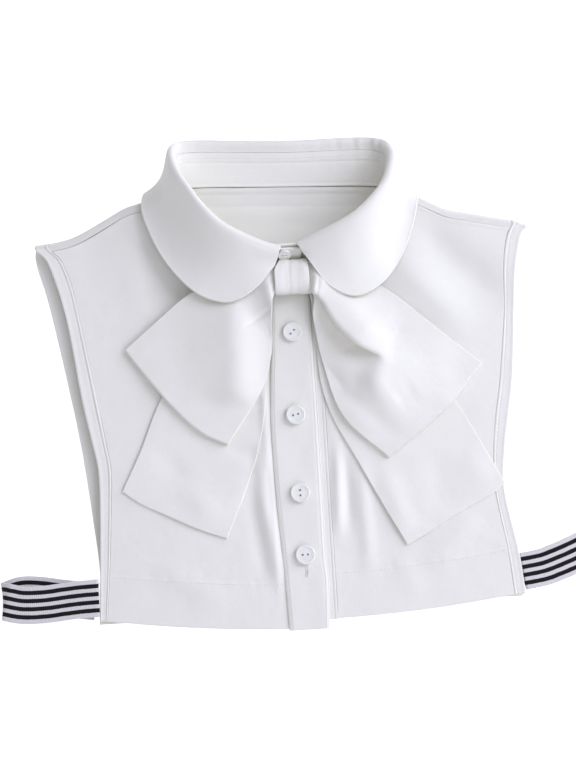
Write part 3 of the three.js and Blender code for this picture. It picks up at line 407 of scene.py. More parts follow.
# How many steps the grid of each cloth has, and the extra steps close to an edge that make it round, in
# millimetres or, in the grids, in shares
EDGE_STEPS = (0.12, 0.4, 0.9)
ROUND_STEPS = (0.12, 0.4, 0.95, 1.9)
ROUND_RADIUS = 0.5
GRIDS = {
    "back": {"shoulder": 30, "corner": 12, "nape": 44, "flat": 90, "fold": 28, "edge": (0.001, 0.003, 0.006)},
    "front": {"across": 96, "centre": 150, "neck": 60},
    "armhole": {"across": 26, "flat": 130, "turn": 20, "edge": (0.0006, 0.002)},
    "button band": {"across": 40, "along": 180, "left": (0, 0.11, 15), "right": (0.9, 1, 13)},
    "under band": {"across": 40, "along": 120},
    "stand": {"round": 330, "lap": 12, "rise": 34},
    "stand edges": {"lap": (0.0004, 0.0012), "low": (0.006, 0.02), "high": (0.004, 0.012, 0.024)},
    "leaf": {"round": 330, "inner": 18, "outer": 62},
    "leaf edges": {
        "ends": (0.0008, 0.0022), "seam": (0.001, 0.003, 0.007), "edge": (0.002, 0.006, 0.011, 0.02),
    },
    "tail": {"across": 70, "along": 110},
    "loop": {"across": 112, "upper": 132, "turn": 14, "lower": 44},
    "wrap": {"round": 121, "across": 52},
    "elastic": {"across": 40, "flat": 60, "turn": 24, "sides": (0.006, 0.02), "ends": (0.001,)},
}

# The cells of the uneven relief before it repeats
CRUMPLE_CELLS = 64


# Numbers and curves


def mix(a, b, t):
    return a + (b - a) * t


def smooth(value, low, high):
    t = np.clip((value - low) / (high - low), 0, 1)
    return t * t * (3 - 2 * t)


def bump(value, centre, width):
    return np.exp(-(((value - centre) / width) ** 2))


def read(rows, key, name, at):
    """A smooth value of one column between the rows of a table."""
    x, y = rows[key], rows[name]
    slopes = np.empty_like(y)
    slopes[0], slopes[-1] = (y[1] - y[0]) / (x[1] - x[0]), (y[-1] - y[-2]) / (x[-1] - x[-2])
    slopes[1:-1] = (y[2:] - y[:-2]) / (x[2:] - x[:-2])
    place = np.clip(at, x[0], x[-1])
    i = np.clip(np.searchsorted(x, place, side="right") - 1, 0, len(x) - 2)
    span = x[i + 1] - x[i]
    t = (place - x[i]) / span
    value = (1 + 2 * t) * (1 - t) ** 2 * y[i] + t * t * (3 - 2 * t) * y[i + 1]
    return value + span * (t * (1 - t) ** 2 * slopes[i] - t * t * (1 - t) * slopes[i + 1])


def length_of(vectors):
    return np.linalg.norm(vectors, axis=-1, keepdims=True)


def unit(vectors):
    return vectors / np.maximum(length_of(vectors), 1e-9)


class Curve:
    """A centripetal curve through points."""

    SAMPLES = 600

    def __init__(self, points):
        points = np.array(points, float)
        if points.shape[1] == 2:
            points = np.hstack([points, np.zeros((len(points), 1))])
        self.count = len(points)
        self.points = np.vstack([2 * points[0] - points[1], points, 2 * points[-1] - points[-2]])
        self.ts = np.linspace(0, 1, self.SAMPLES + 1)
        steps = length_of(np.diff(self.point(self.ts), axis=0))[:, 0]
        self.lengths = np.concatenate([[0], np.cumsum(steps)])

    def point(self, t):
        place = np.clip(np.asarray(t, float), 0, 1) * (self.count - 1)
        i = np.minimum(place.astype(int), self.count - 2)
        w = (place - i)[..., None]
        a, b, c, d = (self.points[i + k] for k in range(4))
        first, middle, last = (np.sqrt(length_of(q - p)) for p, q in ((a, b), (b, c), (c, d)))
        start = ((b - a) / first - (c - a) / (first + middle) + (c - b) / middle) * middle
        end = ((c - b) / middle - (d - b) / (middle + last) + (d - c) / last) * middle
        return b + start * w + (3 * (c - b) - 2 * start - end) * w**2 + (2 * (b - c) + start + end) * w**3

    def at_length(self, share):
        return np.interp(np.asarray(share, float) * self.lengths[-1], self.lengths, self.ts)

    def even(self, share):
        return self.point(self.at_length(share))

    def tangent(self, t):
        near = 1e-4
        t = np.asarray(t, float)
        return unit(self.point(np.minimum(t + near, 1)) - self.point(np.maximum(t - near, 0)))


def bezier(a, b, c, d, t):
    s = 1 - t
    return a * s**3 + b * 3 * s * s * t + c * 3 * s * t * t + d * t**3


def along_line(x, y, from_x, from_y, to_x, to_y):
    """How far points lie from a line, and how far along it from 0 to 1."""
    dx, dy = to_x - from_x, to_y - from_y
    along = np.clip(((x - from_x) * dx + (y - from_y) * dy) / (dx * dx + dy * dy), 0, 1)
    return np.hypot(x - from_x - along * dx, y - from_y - along * dy), along


def line_folds(folds, x, y):
    """The sum of soft folds, each along a line."""
    total = np.zeros_like(x)
    for k in range(len(folds["height"])):
        ends = [folds[name][k] for name in ("from_x", "from_y", "to_x", "to_y")]
        away, along = along_line(x, y, *ends)
        fading = smooth(along, *FOLD_FADES_IN) * (1 - smooth(along, *FOLD_FADES_OUT))
        total += folds["height"][k] * fading * bump(away, 0, folds["width"][k])
    return total


def crumple(x, y, size, seed):
    """Soft uneven relief between -1 and 1 over a plane, with features of one size."""
    cells = CRUMPLE_CELLS
    lattice = np.random.default_rng(seed).uniform(-1, 1, (cells, cells))
    px, py = np.asarray(x) / size, np.asarray(y) / size
    i, j = np.floor(px).astype(int), np.floor(py).astype(int)
    u, v = smooth(px - i, 0, 1), smooth(py - j, 0, 1)
    i0, j0, i1, j1 = i % cells, j % cells, (i + 1) % cells, (j + 1) % cells
    low = mix(lattice[i0, j0], lattice[i1, j0], u)
    high = mix(lattice[i0, j1], lattice[i1, j1], u)
    return mix(low, high, v)


def uneven(name, x, y):
    """The soft unevenness of one cloth."""
    return sum(height * crumple(x, y, size, seed) for height, size, seed in UNEVEN[name])


def hem_relief(name, distance):
    """The relief of one hem or seam by the distance from its edge."""
    height, inner, outer = HEMS[name].get("doubled", (0, 0, 1))
    ridges = sum(rise * bump(distance, place, width) for place, width, rise in HEMS[name]["ridges"])
    return height * (1 - smooth(distance, inner, outer)) + ridges


def spread(low, high, count, low_edge=(), high_edge=()):
    """Even steps, with extra ones close to each end for a rounded edge."""
    inner = np.linspace(low, high, count + 1)
    extra = [low + e for e in low_edge] + [high - e for e in high_edge]
    return np.unique(np.round(np.concatenate([inner, extra]), 7))


def rounded(length):
    """Shares of a length, in millimetres, that carry the extra steps of a rounded edge."""
    return tuple(ROUND_RADIUS * step / length for step in ROUND_STEPS)


# Cloth


class Cloth:
    """A piece of cloth over a grid of places (u, v), with its thickness, its rounded edges and its relief.

    face turns the outer side over, ring joins the two ends, and sewn names the edges that stay almost square
    because they meet a neighbour: u0, u1, v0 and v1.
    """

    def __init__(self, surface, us, vs, thickness, face=1, ring=False, relief=None, sewn=()):
        self.us, self.vs, self.ring, self.face = np.array(us), np.array(vs), ring, face
        rows = self.us[:-1] if ring else self.us
        u, v = np.meshgrid(rows, self.vs, indexing="ij")
        middle = surface(u, v)
        self.middle = middle
        if ring:
            along = np.roll(middle, -1, 0) - np.roll(middle, 1, 0)
        else:
            along = np.gradient(middle, axis=0)
        across = np.gradient(middle, axis=1)
        self.normal = unit(np.cross(along, across)) * face
        radius = thickness / 2
        share = np.clip(self.edge_distance(middle, radius / SEAM_BEVEL, sewn) / radius, 0, 1)
        half = radius * np.sqrt(np.clip(1 - (1 - share) ** 2, 0, 1))
        raised = relief(u, v, middle) * share if relief else 0
        self.top = middle + self.normal * (half + raised)[..., None]
        self.bottom = middle - self.normal * half[..., None]

    def edge_distance(self, middle, sewn_scale, sewn):
        """How far each place is from the nearest edge, scaled up where that edge is sewn to a neighbour."""
        found = []
        for axis, names in ((1, ("v0", "v1")),) if self.ring else ((0, ("u0", "u1")), (1, ("v0", "v1"))):
            run = self.run(middle, axis)
            total = np.take(run, [-1], axis=axis)
            for name, distance in zip(names, (run, total - run)):
                found.append(distance * (sewn_scale if name in sewn else 1))
        return np.minimum.reduce(found)

    @staticmethod
    def run(grid, axis):
        """The length from the first edge along one axis of a grid of places."""
        steps = length_of(np.diff(grid, axis=axis))[..., 0]
        run = np.cumsum(steps, axis=axis)
        return np.concatenate([np.zeros_like(np.take(run, [0], axis=axis)), run], axis=axis)

    def beside(self, edge, distance, low, high, count):
        """Places just above the face in a line beside one edge, and the outward direction there."""
        axis = 0 if edge[0] == "u" else 1
        run = self.run(self.top, axis)
        run = run if axis else run.T
        others, own = (self.us, self.vs) if axis else (self.vs, self.us)
        wanted = distance if edge[1] == "0" else run[:, -1] - distance
        found = [np.interp(w, r, own) for w, r in zip(np.broadcast_to(wanted, len(run)), run)]
        along = np.linspace(low, high, count)
        across = np.interp(along, others[: len(found)], found)
        return self.on(along, across) if axis else self.on(across, along)

    def area(self):
        """The area of the cloth as it lies, in square metres."""
        m = np.vstack([self.middle, self.middle[:1]]) if self.ring else self.middle
        first = np.cross(m[1:, :-1] - m[:-1, :-1], m[:-1, 1:] - m[:-1, :-1])
        second = np.cross(m[1:, :-1] - m[1:, 1:], m[:-1, 1:] - m[1:, 1:])
        return float((length_of(first).sum() + length_of(second).sum()) / 2 * MM * MM)

    def on(self, u, v):
        """Places just above the face of the cloth, and its outward direction there."""
        rows, columns = self.top.shape[:2]
        i = np.clip(np.interp(u, self.us[:rows], np.arange(rows)), 0, rows - 1.001)
        j = np.clip(np.interp(v, self.vs, np.arange(columns)), 0, columns - 1.001)
        i0, j0 = i.astype(int), j.astype(int)
        a, b = (i - i0)[..., None], (j - j0)[..., None]

        def at(grid):
            low = mix(grid[i0, j0], grid[i0 + 1, j0], a)
            return mix(low, mix(grid[i0, j0 + 1], grid[i0 + 1, j0 + 1], a), b)

        outward = unit(at(self.normal))
        return at(self.top) + outward * STITCH["lift"], outward

    def piece(self, name, weave):
        """The mesh object. weave gives the cloth's own lengths across and along, for its threads."""
        n, m = self.top.shape[:2]
        top = np.arange(n * m).reshape(n, m)
        bottom = top.copy()
        inner = (slice(None), slice(1, -1)) if self.ring else (slice(1, -1), slice(1, -1))
        bottom[inner] = n * m + np.arange(bottom[inner].size).reshape(bottom[inner].shape)
        points = np.vstack([self.top.reshape(-1, 3), self.bottom[inner].reshape(-1, 3)])
        faces = []
        for grid, flip in ((top, self.face < 0), (bottom, self.face > 0)):
            if self.ring:
                grid = np.vstack([grid, grid[:1]])
            corners = [grid[:-1, :-1], grid[1:, :-1], grid[1:, 1:], grid[:-1, 1:]]
            faces.append(np.stack([c.ravel() for c in (corners[::-1] if flip else corners)], axis=1))
        made = mesh_piece(name, points, np.vstack(faces).tolist())
        u, v = np.meshgrid(self.us[:n], self.vs, indexing="ij")
        places = np.stack([u * weave[0], v * weave[1], np.zeros_like(u)], axis=-1)
        under = places[inner] + [0, 0, 1]
        threads = np.vstack([places.reshape(-1, 3), under.reshape(-1, 3)])
        attribute = made.data.attributes.new("weave", "FLOAT_VECTOR", "POINT")
        attribute.data.foreach_set("vector", threads.astype(np.float32).ravel())
        return made


def in_scene(name, data):
    """A new object in the scene."""
    made = bpy.data.objects.new(name, data)
    bpy.context.scene.collection.objects.link(made)
    return made


def raw_piece(name, points, faces):
    """A mesh object from lists of points and faces."""
    mesh = bpy.data.meshes.new(name)
    mesh.from_pydata(points, [], faces)
    return in_scene(name, mesh)


def mesh_piece(name, points, faces):
    """A smooth mesh object from points in the drawing's millimetres."""
    made = raw_piece(name, ((np.asarray(points) - OUTLINE_CENTRE) * MM).tolist(), faces)
    made.data.shade_smooth()
    return made


# The bib


def front_height(x, y):
    """The height of the fronts, with their folds."""
    return FRONT_Z + line_folds(FRONT_FOLDS, x, y)


def back_height(x, y):
    """The height of the back, lifted and tucked up at the nape."""
    below = read(BIB_TOP, "x", "y", x) - y
    rise = 1 - smooth(below, *NAPE_LIFT_RUN)
    width = 1 - smooth(np.abs(x), *NAPE_LIFT_HALF_WIDTH)
    at_nape = 1 - smooth(np.abs(x), *NECK_POINT)
    tucked = NAPE_TUCK["rise"] * (1 - smooth(below, 0, NAPE_TUCK["reach"])) * at_nape
    return BACK_Z + NAPE_LIFT * rise * width + tucked


def over_fold(x, fold_y, back_z, front_z, wrap, run):
    """A point at a length along a path that runs up the back, turns over a fold and comes forward."""
    radius = (front_z - back_z) / 2
    turn = math.pi * wrap
    angle = np.minimum(run / radius, turn)
    forward = np.maximum(run - turn * radius, 0)
    flat_end = fold_y - radius * wrap
    y = flat_end + radius * np.sin(angle) + forward * np.cos(turn)
    z = back_z + radius * (1 - np.cos(angle)) + forward * np.sin(turn)
    return np.stack(np.broadcast_arrays(x, y, z), axis=-1)


def armhole_x(side, layer, y, across):
    """How far an armhole's band reaches, between its inner (0) and outer (1) edge."""
    def reach(which, at):
        inner = read(ARMHOLE[side], "y", which + "_inner", at)
        return side * mix(inner, read(ARMHOLE[side], "y", which + "_outer", at), across)

    turn = (reach("front", SHOULDER_END_Y) + reach("back", SHOULDER_END_Y)) / 2
    return mix(reach(layer, y), turn, smooth(y, *ARMHOLE_TURN))


def back_hem_y(x):
    """The hem of the back, a little higher on the right."""
    lift = BACK_HEM_LIFT
    return BACK_HEM_Y + lift["rise"] * smooth(x, lift["from_x"], lift["to_x"])


def back_bib():
    def left(y):
        return armhole_x(-1, "back", y, 0) + SEAM_GAP

    def right(y):
        return armhole_x(1, "back", y, 0) - SEAM_GAP

    ends = float(left(SHOULDER_END_Y)), float(right(SHOULDER_END_Y))
    flat_share = 1 - WRAP_SHARE

    def column(x):
        fold_y = read(BIB_TOP, "x", "y", x)
        wrap = smooth(np.abs(x), *NECK_POINT)
        back_z = back_height(x, fold_y)
        radius = (FRONT_Z - back_z) / 2
        flat_run = BACK_EDGE_RUN * (1 - wrap)
        tucked = NAPE_TUCK["length"] * (1 - wrap)
        return fold_y, wrap, back_z, radius, flat_run + tucked, fold_y - radius * wrap - flat_run

    left_end, right_end = (column(np.float64(x))[-1] for x in ends)

    def surface(u, v):
        top_x = mix(ends[0], ends[1], u)
        fold_y, wrap, back_z, radius, flat_run, flat_end = column(top_x)
        share = np.minimum(v / flat_share, 1)
        edges = [f(mix(BACK_HEM_Y, end, share)) for f, end in ((left, left_end), (right, right_end))]
        x = mix(edges[0], edges[1], u)
        y = mix(back_hem_y(top_x), flat_end, share)
        flat = np.stack([x, y, back_height(x, y)], axis=-1)
        length = flat_run + wrap * (math.pi * radius + SHOULDER_WRAP - radius)
        run = length * (v - flat_share) / WRAP_SHARE
        y_run = flat_end + np.clip(run, 0, flat_run)
        before = np.stack([top_x, y_run, back_height(top_x, y_run)], axis=-1)
        turned = over_fold(top_x, fold_y, back_z, FRONT_Z, wrap, np.maximum(run - flat_run, 0))
        beyond = np.where((run < flat_run)[..., None], before, turned)
        return np.where((v <= flat_share)[..., None], flat, beyond)

    def relief(u, v, middle):
        x, y = middle[..., 0], middle[..., 1]
        return uneven("back", x, y) - BACK_SETTLED + hem_relief("back hem", y - y[:, :1])

    grid, (nape, corner) = GRIDS["back"], NECK_POINT
    columns = np.concatenate([
        spread(ends[0], -corner, grid["shoulder"], EDGE_STEPS),
        np.linspace(-corner, -nape, grid["corner"])[1:],
        np.linspace(-nape, nape, grid["nape"])[1:],
        np.linspace(nape, corner, grid["corner"])[1:],
        spread(corner, ends[1], grid["shoulder"], (), EDGE_STEPS)[1:],
    ])
    us = (columns - ends[0]) / (ends[1] - ends[0])
    vs = np.concatenate([
        spread(0, flat_share, grid["flat"], rounded(BACK_WIDTH)),
        spread(flat_share, 1, grid["fold"], (), grid["edge"])[1:],
    ])
    return Cloth(surface, us, vs, BIB_CLOTH, relief=relief, face=-1, sewn=("u0", "u1", "v1"))


def section_curve(line):
    """A curve through one line of the collar's sections."""
    return Curve(np.stack([SECTIONS[line + axis] for axis in ("_x", "_y", "_z")], axis=1))


NECK, FOLD, EDGE = section_curve("neck"), section_curve("fold"), section_curve("edge")
ROLL = Curve(np.stack([np.arange(LAST_SECTION + 1.0), SECTIONS["roll"]], axis=1))


def outward(curve, t):
    """The level direction to the left of a curve, which is away from the neck."""
    tangent = curve.tangent(np.clip(t, 0, 1))
    return unit(np.stack([-tangent[..., 1], tangent[..., 0], 0 * tangent[..., 0]], axis=-1))


def neck_edge(side, share):
    """A front's edge along the neck seam, from the centre front (0) to the shoulder (1)."""
    section = mix(FRONT[side]["neck_section"], SHOULDER_SECTION[side], share)
    t = section / LAST_SECTION
    return NECK.point(t) + outward(NECK, t) * NECK_EDGE_INSET


def front_bib(side):
    front, name = FRONT[side], "right" if side > 0 else "left"
    top_y = float(neck_edge(side, np.float64(0))[1])
    neck_end = neck_edge(side, np.float64(1))
    centre_share = 1 - NECK_EDGE_SHARE

    def seam_y(x):
        return read(BIB_TOP, "x", "y", x) - SHOULDER_WRAP - SHOULDER_SEAM_GAP

    def armhole_edge(y):
        return armhole_x(side, "front", y, 0) - side * SEAM_GAP

    armhole_top = float(seam_y(armhole_x(side, "front", SHOULDER_END_Y, 0)))
    shoulder_end = float(armhole_edge(armhole_top))

    def seam_rise(u):
        """How far the shoulder seam lies above the straight line between its ends."""
        x = mix(neck_end[0], shoulder_end, u)
        rise = seam_y(x) - mix(neck_end[1], armhole_top, u)
        return np.where(np.abs(x) > NECK_POINT[1], rise, np.minimum(0, rise))

    def surface(u, v):
        along_neck = neck_edge(side, np.clip((v - centre_share) / NECK_EDGE_SHARE, 0, 1))
        centre_y = mix(front["centre_hem"], top_y, np.minimum(v / centre_share, 1))
        from_x = np.where(v > centre_share, along_neck[..., 0], front["centre_x"])
        from_y = np.where(v > centre_share, along_neck[..., 1], centre_y)
        outer_y = mix(front["armhole_hem"], armhole_top, v)
        x = mix(from_x, armhole_edge(outer_y), u)
        dip = HEM_DIP * 4 * u * (1 - u) * (1 - smooth(v, 0, HEM_DIP_REACH))
        y = mix(from_y, outer_y, u) - dip + seam_rise(u) * smooth(v, SHOULDER_SHAPING, 1)
        return np.stack([x, y, front_height(x, y)], axis=-1)

    def relief(u, v, middle):
        x, y = middle[..., 0], middle[..., 1]
        hem, seam = y - y[:, :1], y[:, -1:] - y
        puckers = HEM_PUCKERS
        drawn = crumple(x, y * puckers["stretch"], puckers["size"], puckers["seed"] + side)
        drawn = puckers["height"] * drawn * bump(hem, HEM_DEPTH, puckers["reach"])
        soft = uneven(name + " front", x, y) * smooth(np.abs(x), *CALM_BESIDE_BAND)
        shoulder = hem_relief(name + " shoulder", seam) * smooth(np.abs(x), *NECK_POINT)
        return hem_relief("front hem", hem) + drawn + soft + shoulder

    width = rounded(abs(shoulder_end - front["centre_x"]))
    height = rounded(armhole_top - front["armhole_hem"])
    grid = GRIDS["front"]
    us = spread(0, 1, grid["across"], width, width)
    vs = np.concatenate([
        spread(0, centre_share, grid["centre"], height),
        spread(centre_share, 1, grid["neck"], (), height)[1:],
    ])
    sewn = ("u0", "u1", "v1") if side > 0 else ("u1", "v1")
    return Cloth(surface, us, vs, BIB_CLOTH, relief=relief, face=side, sewn=sewn)


def armhole_band(side):
    hem_y, puckers = FRONT[side]["armhole_hem"], ARMHOLE_PUCKERS
    half = (1 - BINDING_TURN_SHARE) / 2
    radius = (FRONT_Z - BACK_Z) / 2

    def surface(u, v):
        top_x = armhole_x(side, "front", SHOULDER_END_Y, u)
        fold_y = read(BIB_TOP, "x", "y", top_x)
        flat_end = fold_y - radius
        front_y = mix(hem_y, flat_end, np.minimum(v / half, 1))
        front_x = armhole_x(side, "front", front_y, u)
        front = np.stack([front_x, front_y, front_height(front_x, front_y)], axis=-1)
        back_y = mix(flat_end, back_hem_y(top_x), np.clip((v - 1 + half) / half, 0, 1))
        back_x = armhole_x(side, "back", back_y, u)
        back = np.stack([back_x, back_y, np.full_like(back_x, BACK_Z)], axis=-1)
        angle = math.pi * np.clip(1 - (v - half) / BINDING_TURN_SHARE, 0, 1)
        turned = over_fold(top_x, fold_y, BACK_Z, FRONT_Z, 1, angle * radius)
        return np.where((v < half)[..., None], front, np.where((v > 1 - half)[..., None], back, turned))

    def relief(u, v, middle):
        drawn = crumple(v * puckers["length"], u * ARMHOLE_WIDTH, puckers["size"], puckers["seed"] + side)
        seam = (1 + puckers["share"] * drawn) * hem_relief("armhole seam", u)
        return (seam + hem_relief("armhole edge", u)) * (1 - smooth(v, half, 0.5))

    grid, edge = GRIDS["armhole"], rounded(ARMHOLE_WIDTH)
    us, flat = spread(0, 1, grid["across"], edge, edge), spread(0, half, grid["flat"], grid["edge"])
    vs = np.concatenate([flat, np.linspace(half, 1 - half, grid["turn"])[1:-1], 1 - flat[::-1]])
    return Cloth(surface, us, vs, BIB_CLOTH, relief=relief, face=side, sewn=("u0",))


# The button band


def button_band():
    hem, top = BAND["y"][0], BAND["y"][-1]

    def surface(u, v):
        y = mix(hem, top, v)
        low, high = read(BAND, "y", "left", y), read(BAND, "y", "right", y)
        x = mix(low, high, u)
        inward = np.minimum(x - low, high - x)
        z = mix(BAND_Z["edge"], BAND_Z["body"], smooth(inward, 0, BAND_SLOPE))
        arch = np.sin(math.pi * u)
        sway = BAND_SWAY["height"] * np.sin(y / BAND_SWAY["length"]) * arch - BAND_SWAY["hollow"] * arch**2
        return np.stack([x, y, z + sway], axis=-1)

    def relief(u, v, middle):
        x, y = middle[..., 0], middle[..., 1]
        soft = uneven("button band", x * BAND_FINER_ACROSS, y)
        return hem_relief("band fold", x - x[:1]) + hem_relief("band edge", x[-1:] - x) + soft

    grid, side, end = GRIDS["button band"], rounded(BAND_WIDTH), rounded(BAND_LENGTH)
    over_edges = [np.linspace(*grid[edge]) for edge in ("left", "right")]
    us = np.unique(np.concatenate([spread(0, 1, grid["across"], side, side), *over_edges]))
    return Cloth(surface, us, spread(0, 1, grid["along"], end, end), BAND_CLOTH, relief=relief)


def under_band():
    band = UNDER_BAND

    def surface(u, v):
        outer = band["outer_x"] - band["taper"] * smooth(v, band["taper_from"], 1)
        y = mix(band["hem_y"], band["top_y"], v)
        return np.stack(np.broadcast_arrays(mix(band["inner_x"], outer, u), y, FRONT_Z + 0 * u), axis=-1)

    def relief(u, v, middle):
        return hem_relief("under band", middle[-1:, :, 0] - middle[..., 0])

    grid = GRIDS["under band"]
    us = spread(0, 1, grid["across"], (), rounded(band["outer_x"] - band["inner_x"]))
    vs = spread(0, 1, grid["along"], rounded(band["top_y"] - band["hem_y"]))
    return Cloth(surface, us, vs, BIB_CLOTH, relief=relief, sewn=("u1",))


# The collar


def leaf_seam(t):
    """The seam between stand and leaf, just inside the fold."""
    seam = mix(NECK.point(t), FOLD.point(t), STAND_SHARE)
    return seam - outward(FOLD, t) * ROLL.point(t)[..., 1:2]


def stand_point(t, rise):
    """From the neck seam (0) up to the leaf's seam (1). The two ends lap at the front."""
    within = np.clip(t, 0, 1)
    seam, neck = leaf_seam(within), NECK.point(within)
    slope = unit(seam - neck)
    front = np.stack([0 * slope[..., 0], -slope[..., 2], slope[..., 1]], axis=-1)
    section = within * LAST_SECTION
    lap = (1 - smooth(section, 0, 1)) - smooth(section, LAST_SECTION - 1, LAST_SECTION)
    place = mix(neck, seam, np.asarray(rise)[..., None]) + front * (LAP_OFFSET * lap)[..., None]
    place[..., 0] -= (t - within) * LAP_LENGTH * LAST_SECTION
    return place


def round_the_neck(t):
    """The length round the fold at each place, in millimetres."""
    return np.interp(t, FOLD.ts, FOLD.lengths)


def nape_share(t):
    """1 round the nape and 0 at the fronts."""
    section = np.asarray(t) * LAST_SECTION
    left, right = NAPE_SECTIONS
    return smooth(section, *left) * (1 - smooth(section, *right))


def puckers(t):
    """Small upright puckers close to the two corners of the nape."""
    section = np.asarray(t) * LAST_SECTION
    near = sum(height * bump(section, place, width) for place, width, height in PUCKERED_CORNERS)
    run, waves = round_the_neck(t), PUCKER_WAVES
    second = waves["share"] * np.sin(run * waves["second"] + waves["shift"])
    return (near + PUCKERED_NAPE * nape_share(t)) * (np.sin(run * waves["first"]) + second)


def neck_stand():
    beyond, grid, edges = 1 / LAST_SECTION, GRIDS["stand"], GRIDS["stand edges"]

    def relief(u, v, middle):
        step = STAND_STEP["height"] * smooth(v, STAND_STEP["from"], STAND_STEP["to"])
        drawn = STAND_PUCKERS * puckers(np.clip(u, 0, 1)) * smooth(v, *STAND_PUCKERS_RISE)
        return hem_relief("neck seam", v) + step + drawn

    left_lap = spread(-beyond, 0, grid["lap"], edges["lap"])[:-1]
    right_lap = spread(1, 1 + beyond, grid["lap"], (), edges["lap"])[1:]
    ts = np.concatenate([left_lap, FOLD.at_length(np.linspace(0, 1, grid["round"])), right_lap])
    rises = spread(0, 1, grid["rise"], edges["low"], edges["high"])
    return Cloth(stand_point, ts, rises, STAND_CLOTH, relief=relief, sewn=("v0", "v1"))


def leaf_point(t, fall):
    """From the seam up over the roll and down to the outer edge."""
    neck, seam, fold, edge = NECK.point(t), leaf_seam(t), FOLD.point(t), EDGE.point(t)
    out = outward(FOLD, t)
    slope = unit(seam - neck)
    start = seam + slope * LEAF_SEAM_GAP
    reach = length_of(fold - start) * ROLL_EASE
    inner_share = np.clip(fall / FOLD_FALL, 0, 1)[..., None]
    inner = bezier(start, start + slope * reach, fold - out * reach, fold, inner_share)
    across = (edge - fold) * [1, 1, 0]
    reach = np.minimum(ROLL_REACH, length_of(across) * ROLL_LIMIT)
    outer_share = np.clip((fall - FOLD_FALL) / (1 - FOLD_FALL), 0, 1)[..., None]
    outer = bezier(fold, fold + out * reach, edge - across * EDGE_REACH, edge, outer_share)
    outer[..., 2] = np.maximum(outer[..., 2], LEAF_LOWEST)
    return np.where((fall <= FOLD_FALL)[..., None], inner, outer)


def rounded_leaf():
    def relief(u, v, middle):
        x, y, z = np.moveaxis(middle, -1, 0)
        run = Cloth.run(middle, 1)
        shown = smooth(v, *LEAF_SHOWN) * smooth(z, *LEAF_CALM_BELOW)
        rolled = hem_relief("leaf edge", run[:, -1:] - run)
        inside = (1 - smooth(v, *LEAF_INSIDE)) * LEAF_PUCKERS * puckers(u)
        return shown * (rolled + uneven("leaf", x, y)) + inside

    grid, edges = GRIDS["leaf"], GRIDS["leaf edges"]
    ts = FOLD.at_length(spread(0, 1, grid["round"], edges["ends"], edges["ends"]))
    falls = np.concatenate([
        spread(0, FOLD_FALL, grid["inner"], edges["seam"]),
        spread(FOLD_FALL, 1, grid["outer"], (), edges["edge"])[1:],
    ])
    return Cloth(leaf_point, ts, falls, LEAF_CLOTH, relief=relief, sewn=("v0",))


# The bow


def bow_patch(name):
    """The plan of one patch of the bow, by how far out from the knot and how far across."""
    low, high, far = (Curve(BOW[name][edge]) for edge in ("low", "high", "far"))

    def plan(out, across):
        across = np.asarray(across)[..., None]
        straight = mix(far.point(0.0), far.point(1.0), across)
        bulge = far.even(across[..., 0]) - straight
        return mix(low.even(out), high.even(out), across) + bulge * np.asarray(out)[..., None] ** 2

    return plan


class Pleat:
    """A place where the cloth turns over itself along a line in plan, high on the line's left."""

    SAMPLES = 240

    def __init__(self, pleat):
        self.pleat = pleat
        line = Curve(pleat["line"])
        shares = np.linspace(0, 1, self.SAMPLES)
        self.line, tangent = line.even(shares)[:, :2], line.tangent(line.at_length(shares))[:, :2]
        self.left = np.stack([-tangent[:, 1], tangent[:, 0]], axis=1)

    def at(self, x, y):
        """The shift in plan and the rise of the cloth at places."""
        places = np.stack([x.ravel(), y.ravel()], axis=1)
        away = places[:, None, :] - self.line[None]
        nearest = (away**2).sum(-1).argmin(1)
        offset = away[np.arange(len(places)), nearest]
        left = self.left[nearest]
        towards = (offset * left).sum(-1)
        past_end = (nearest == 0) | (nearest == self.SAMPLES - 1)
        distance = np.where(past_end, np.copysign(np.hypot(*offset.T), towards), towards)
        pleat, along = self.pleat, nearest / (self.SAMPLES - 1)
        rising, fading = smooth(along, *pleat["rises"]), smooth(along, *pleat["fades"])
        amount = mix(pleat["near_knot"], 1, rising) * (1 - fading)
        place = distance / pleat["width"]
        beyond = np.maximum(np.abs(distance) - pleat["width"], 0)
        step = smooth(place, -1, 1)
        high = pleat["height"] * step * bump(beyond, 0, pleat["above"])
        low = -pleat["hollow"] * (1 - step) * bump(beyond, 0, pleat["below"])
        turn = -pleat["overhang"] * place * bump(place, 0, 1) * amount
        shift = left * turn[:, None]
        return shift.reshape(*x.shape, 2), ((high + low) * amount).reshape(x.shape)


SIDE = {"left loop": -1, "left tail": -1, "right loop": 1, "right tail": 1}


def bow_tail(name):
    plan = bow_patch(name)

    def surface(across, out):
        place = plan(out, across)
        x, y = place[..., 0], place[..., 1]
        rest = front_height(x, y) + TAIL_REST + line_folds(TAIL_FOLDS[name], x, y)
        place[..., 2] = mix(TAIL_AT_KNOT, rest, smooth(out, *TAIL_SETTLE))
        return place

    def relief(across, out, middle):
        return uneven("tail", middle[..., 0], middle[..., 1]) * smooth(out, *TAIL_UNEVEN_FROM)

    grid, side = GRIDS["tail"], rounded(TAIL_WIDTH)
    us, vs = spread(0, 1, grid["across"], side, side), spread(0, 1, grid["along"], (), rounded(TAIL_LENGTH))
    return Cloth(surface, us, vs, RIBBON_CLOTH, relief=relief, face=-SIDE[name])


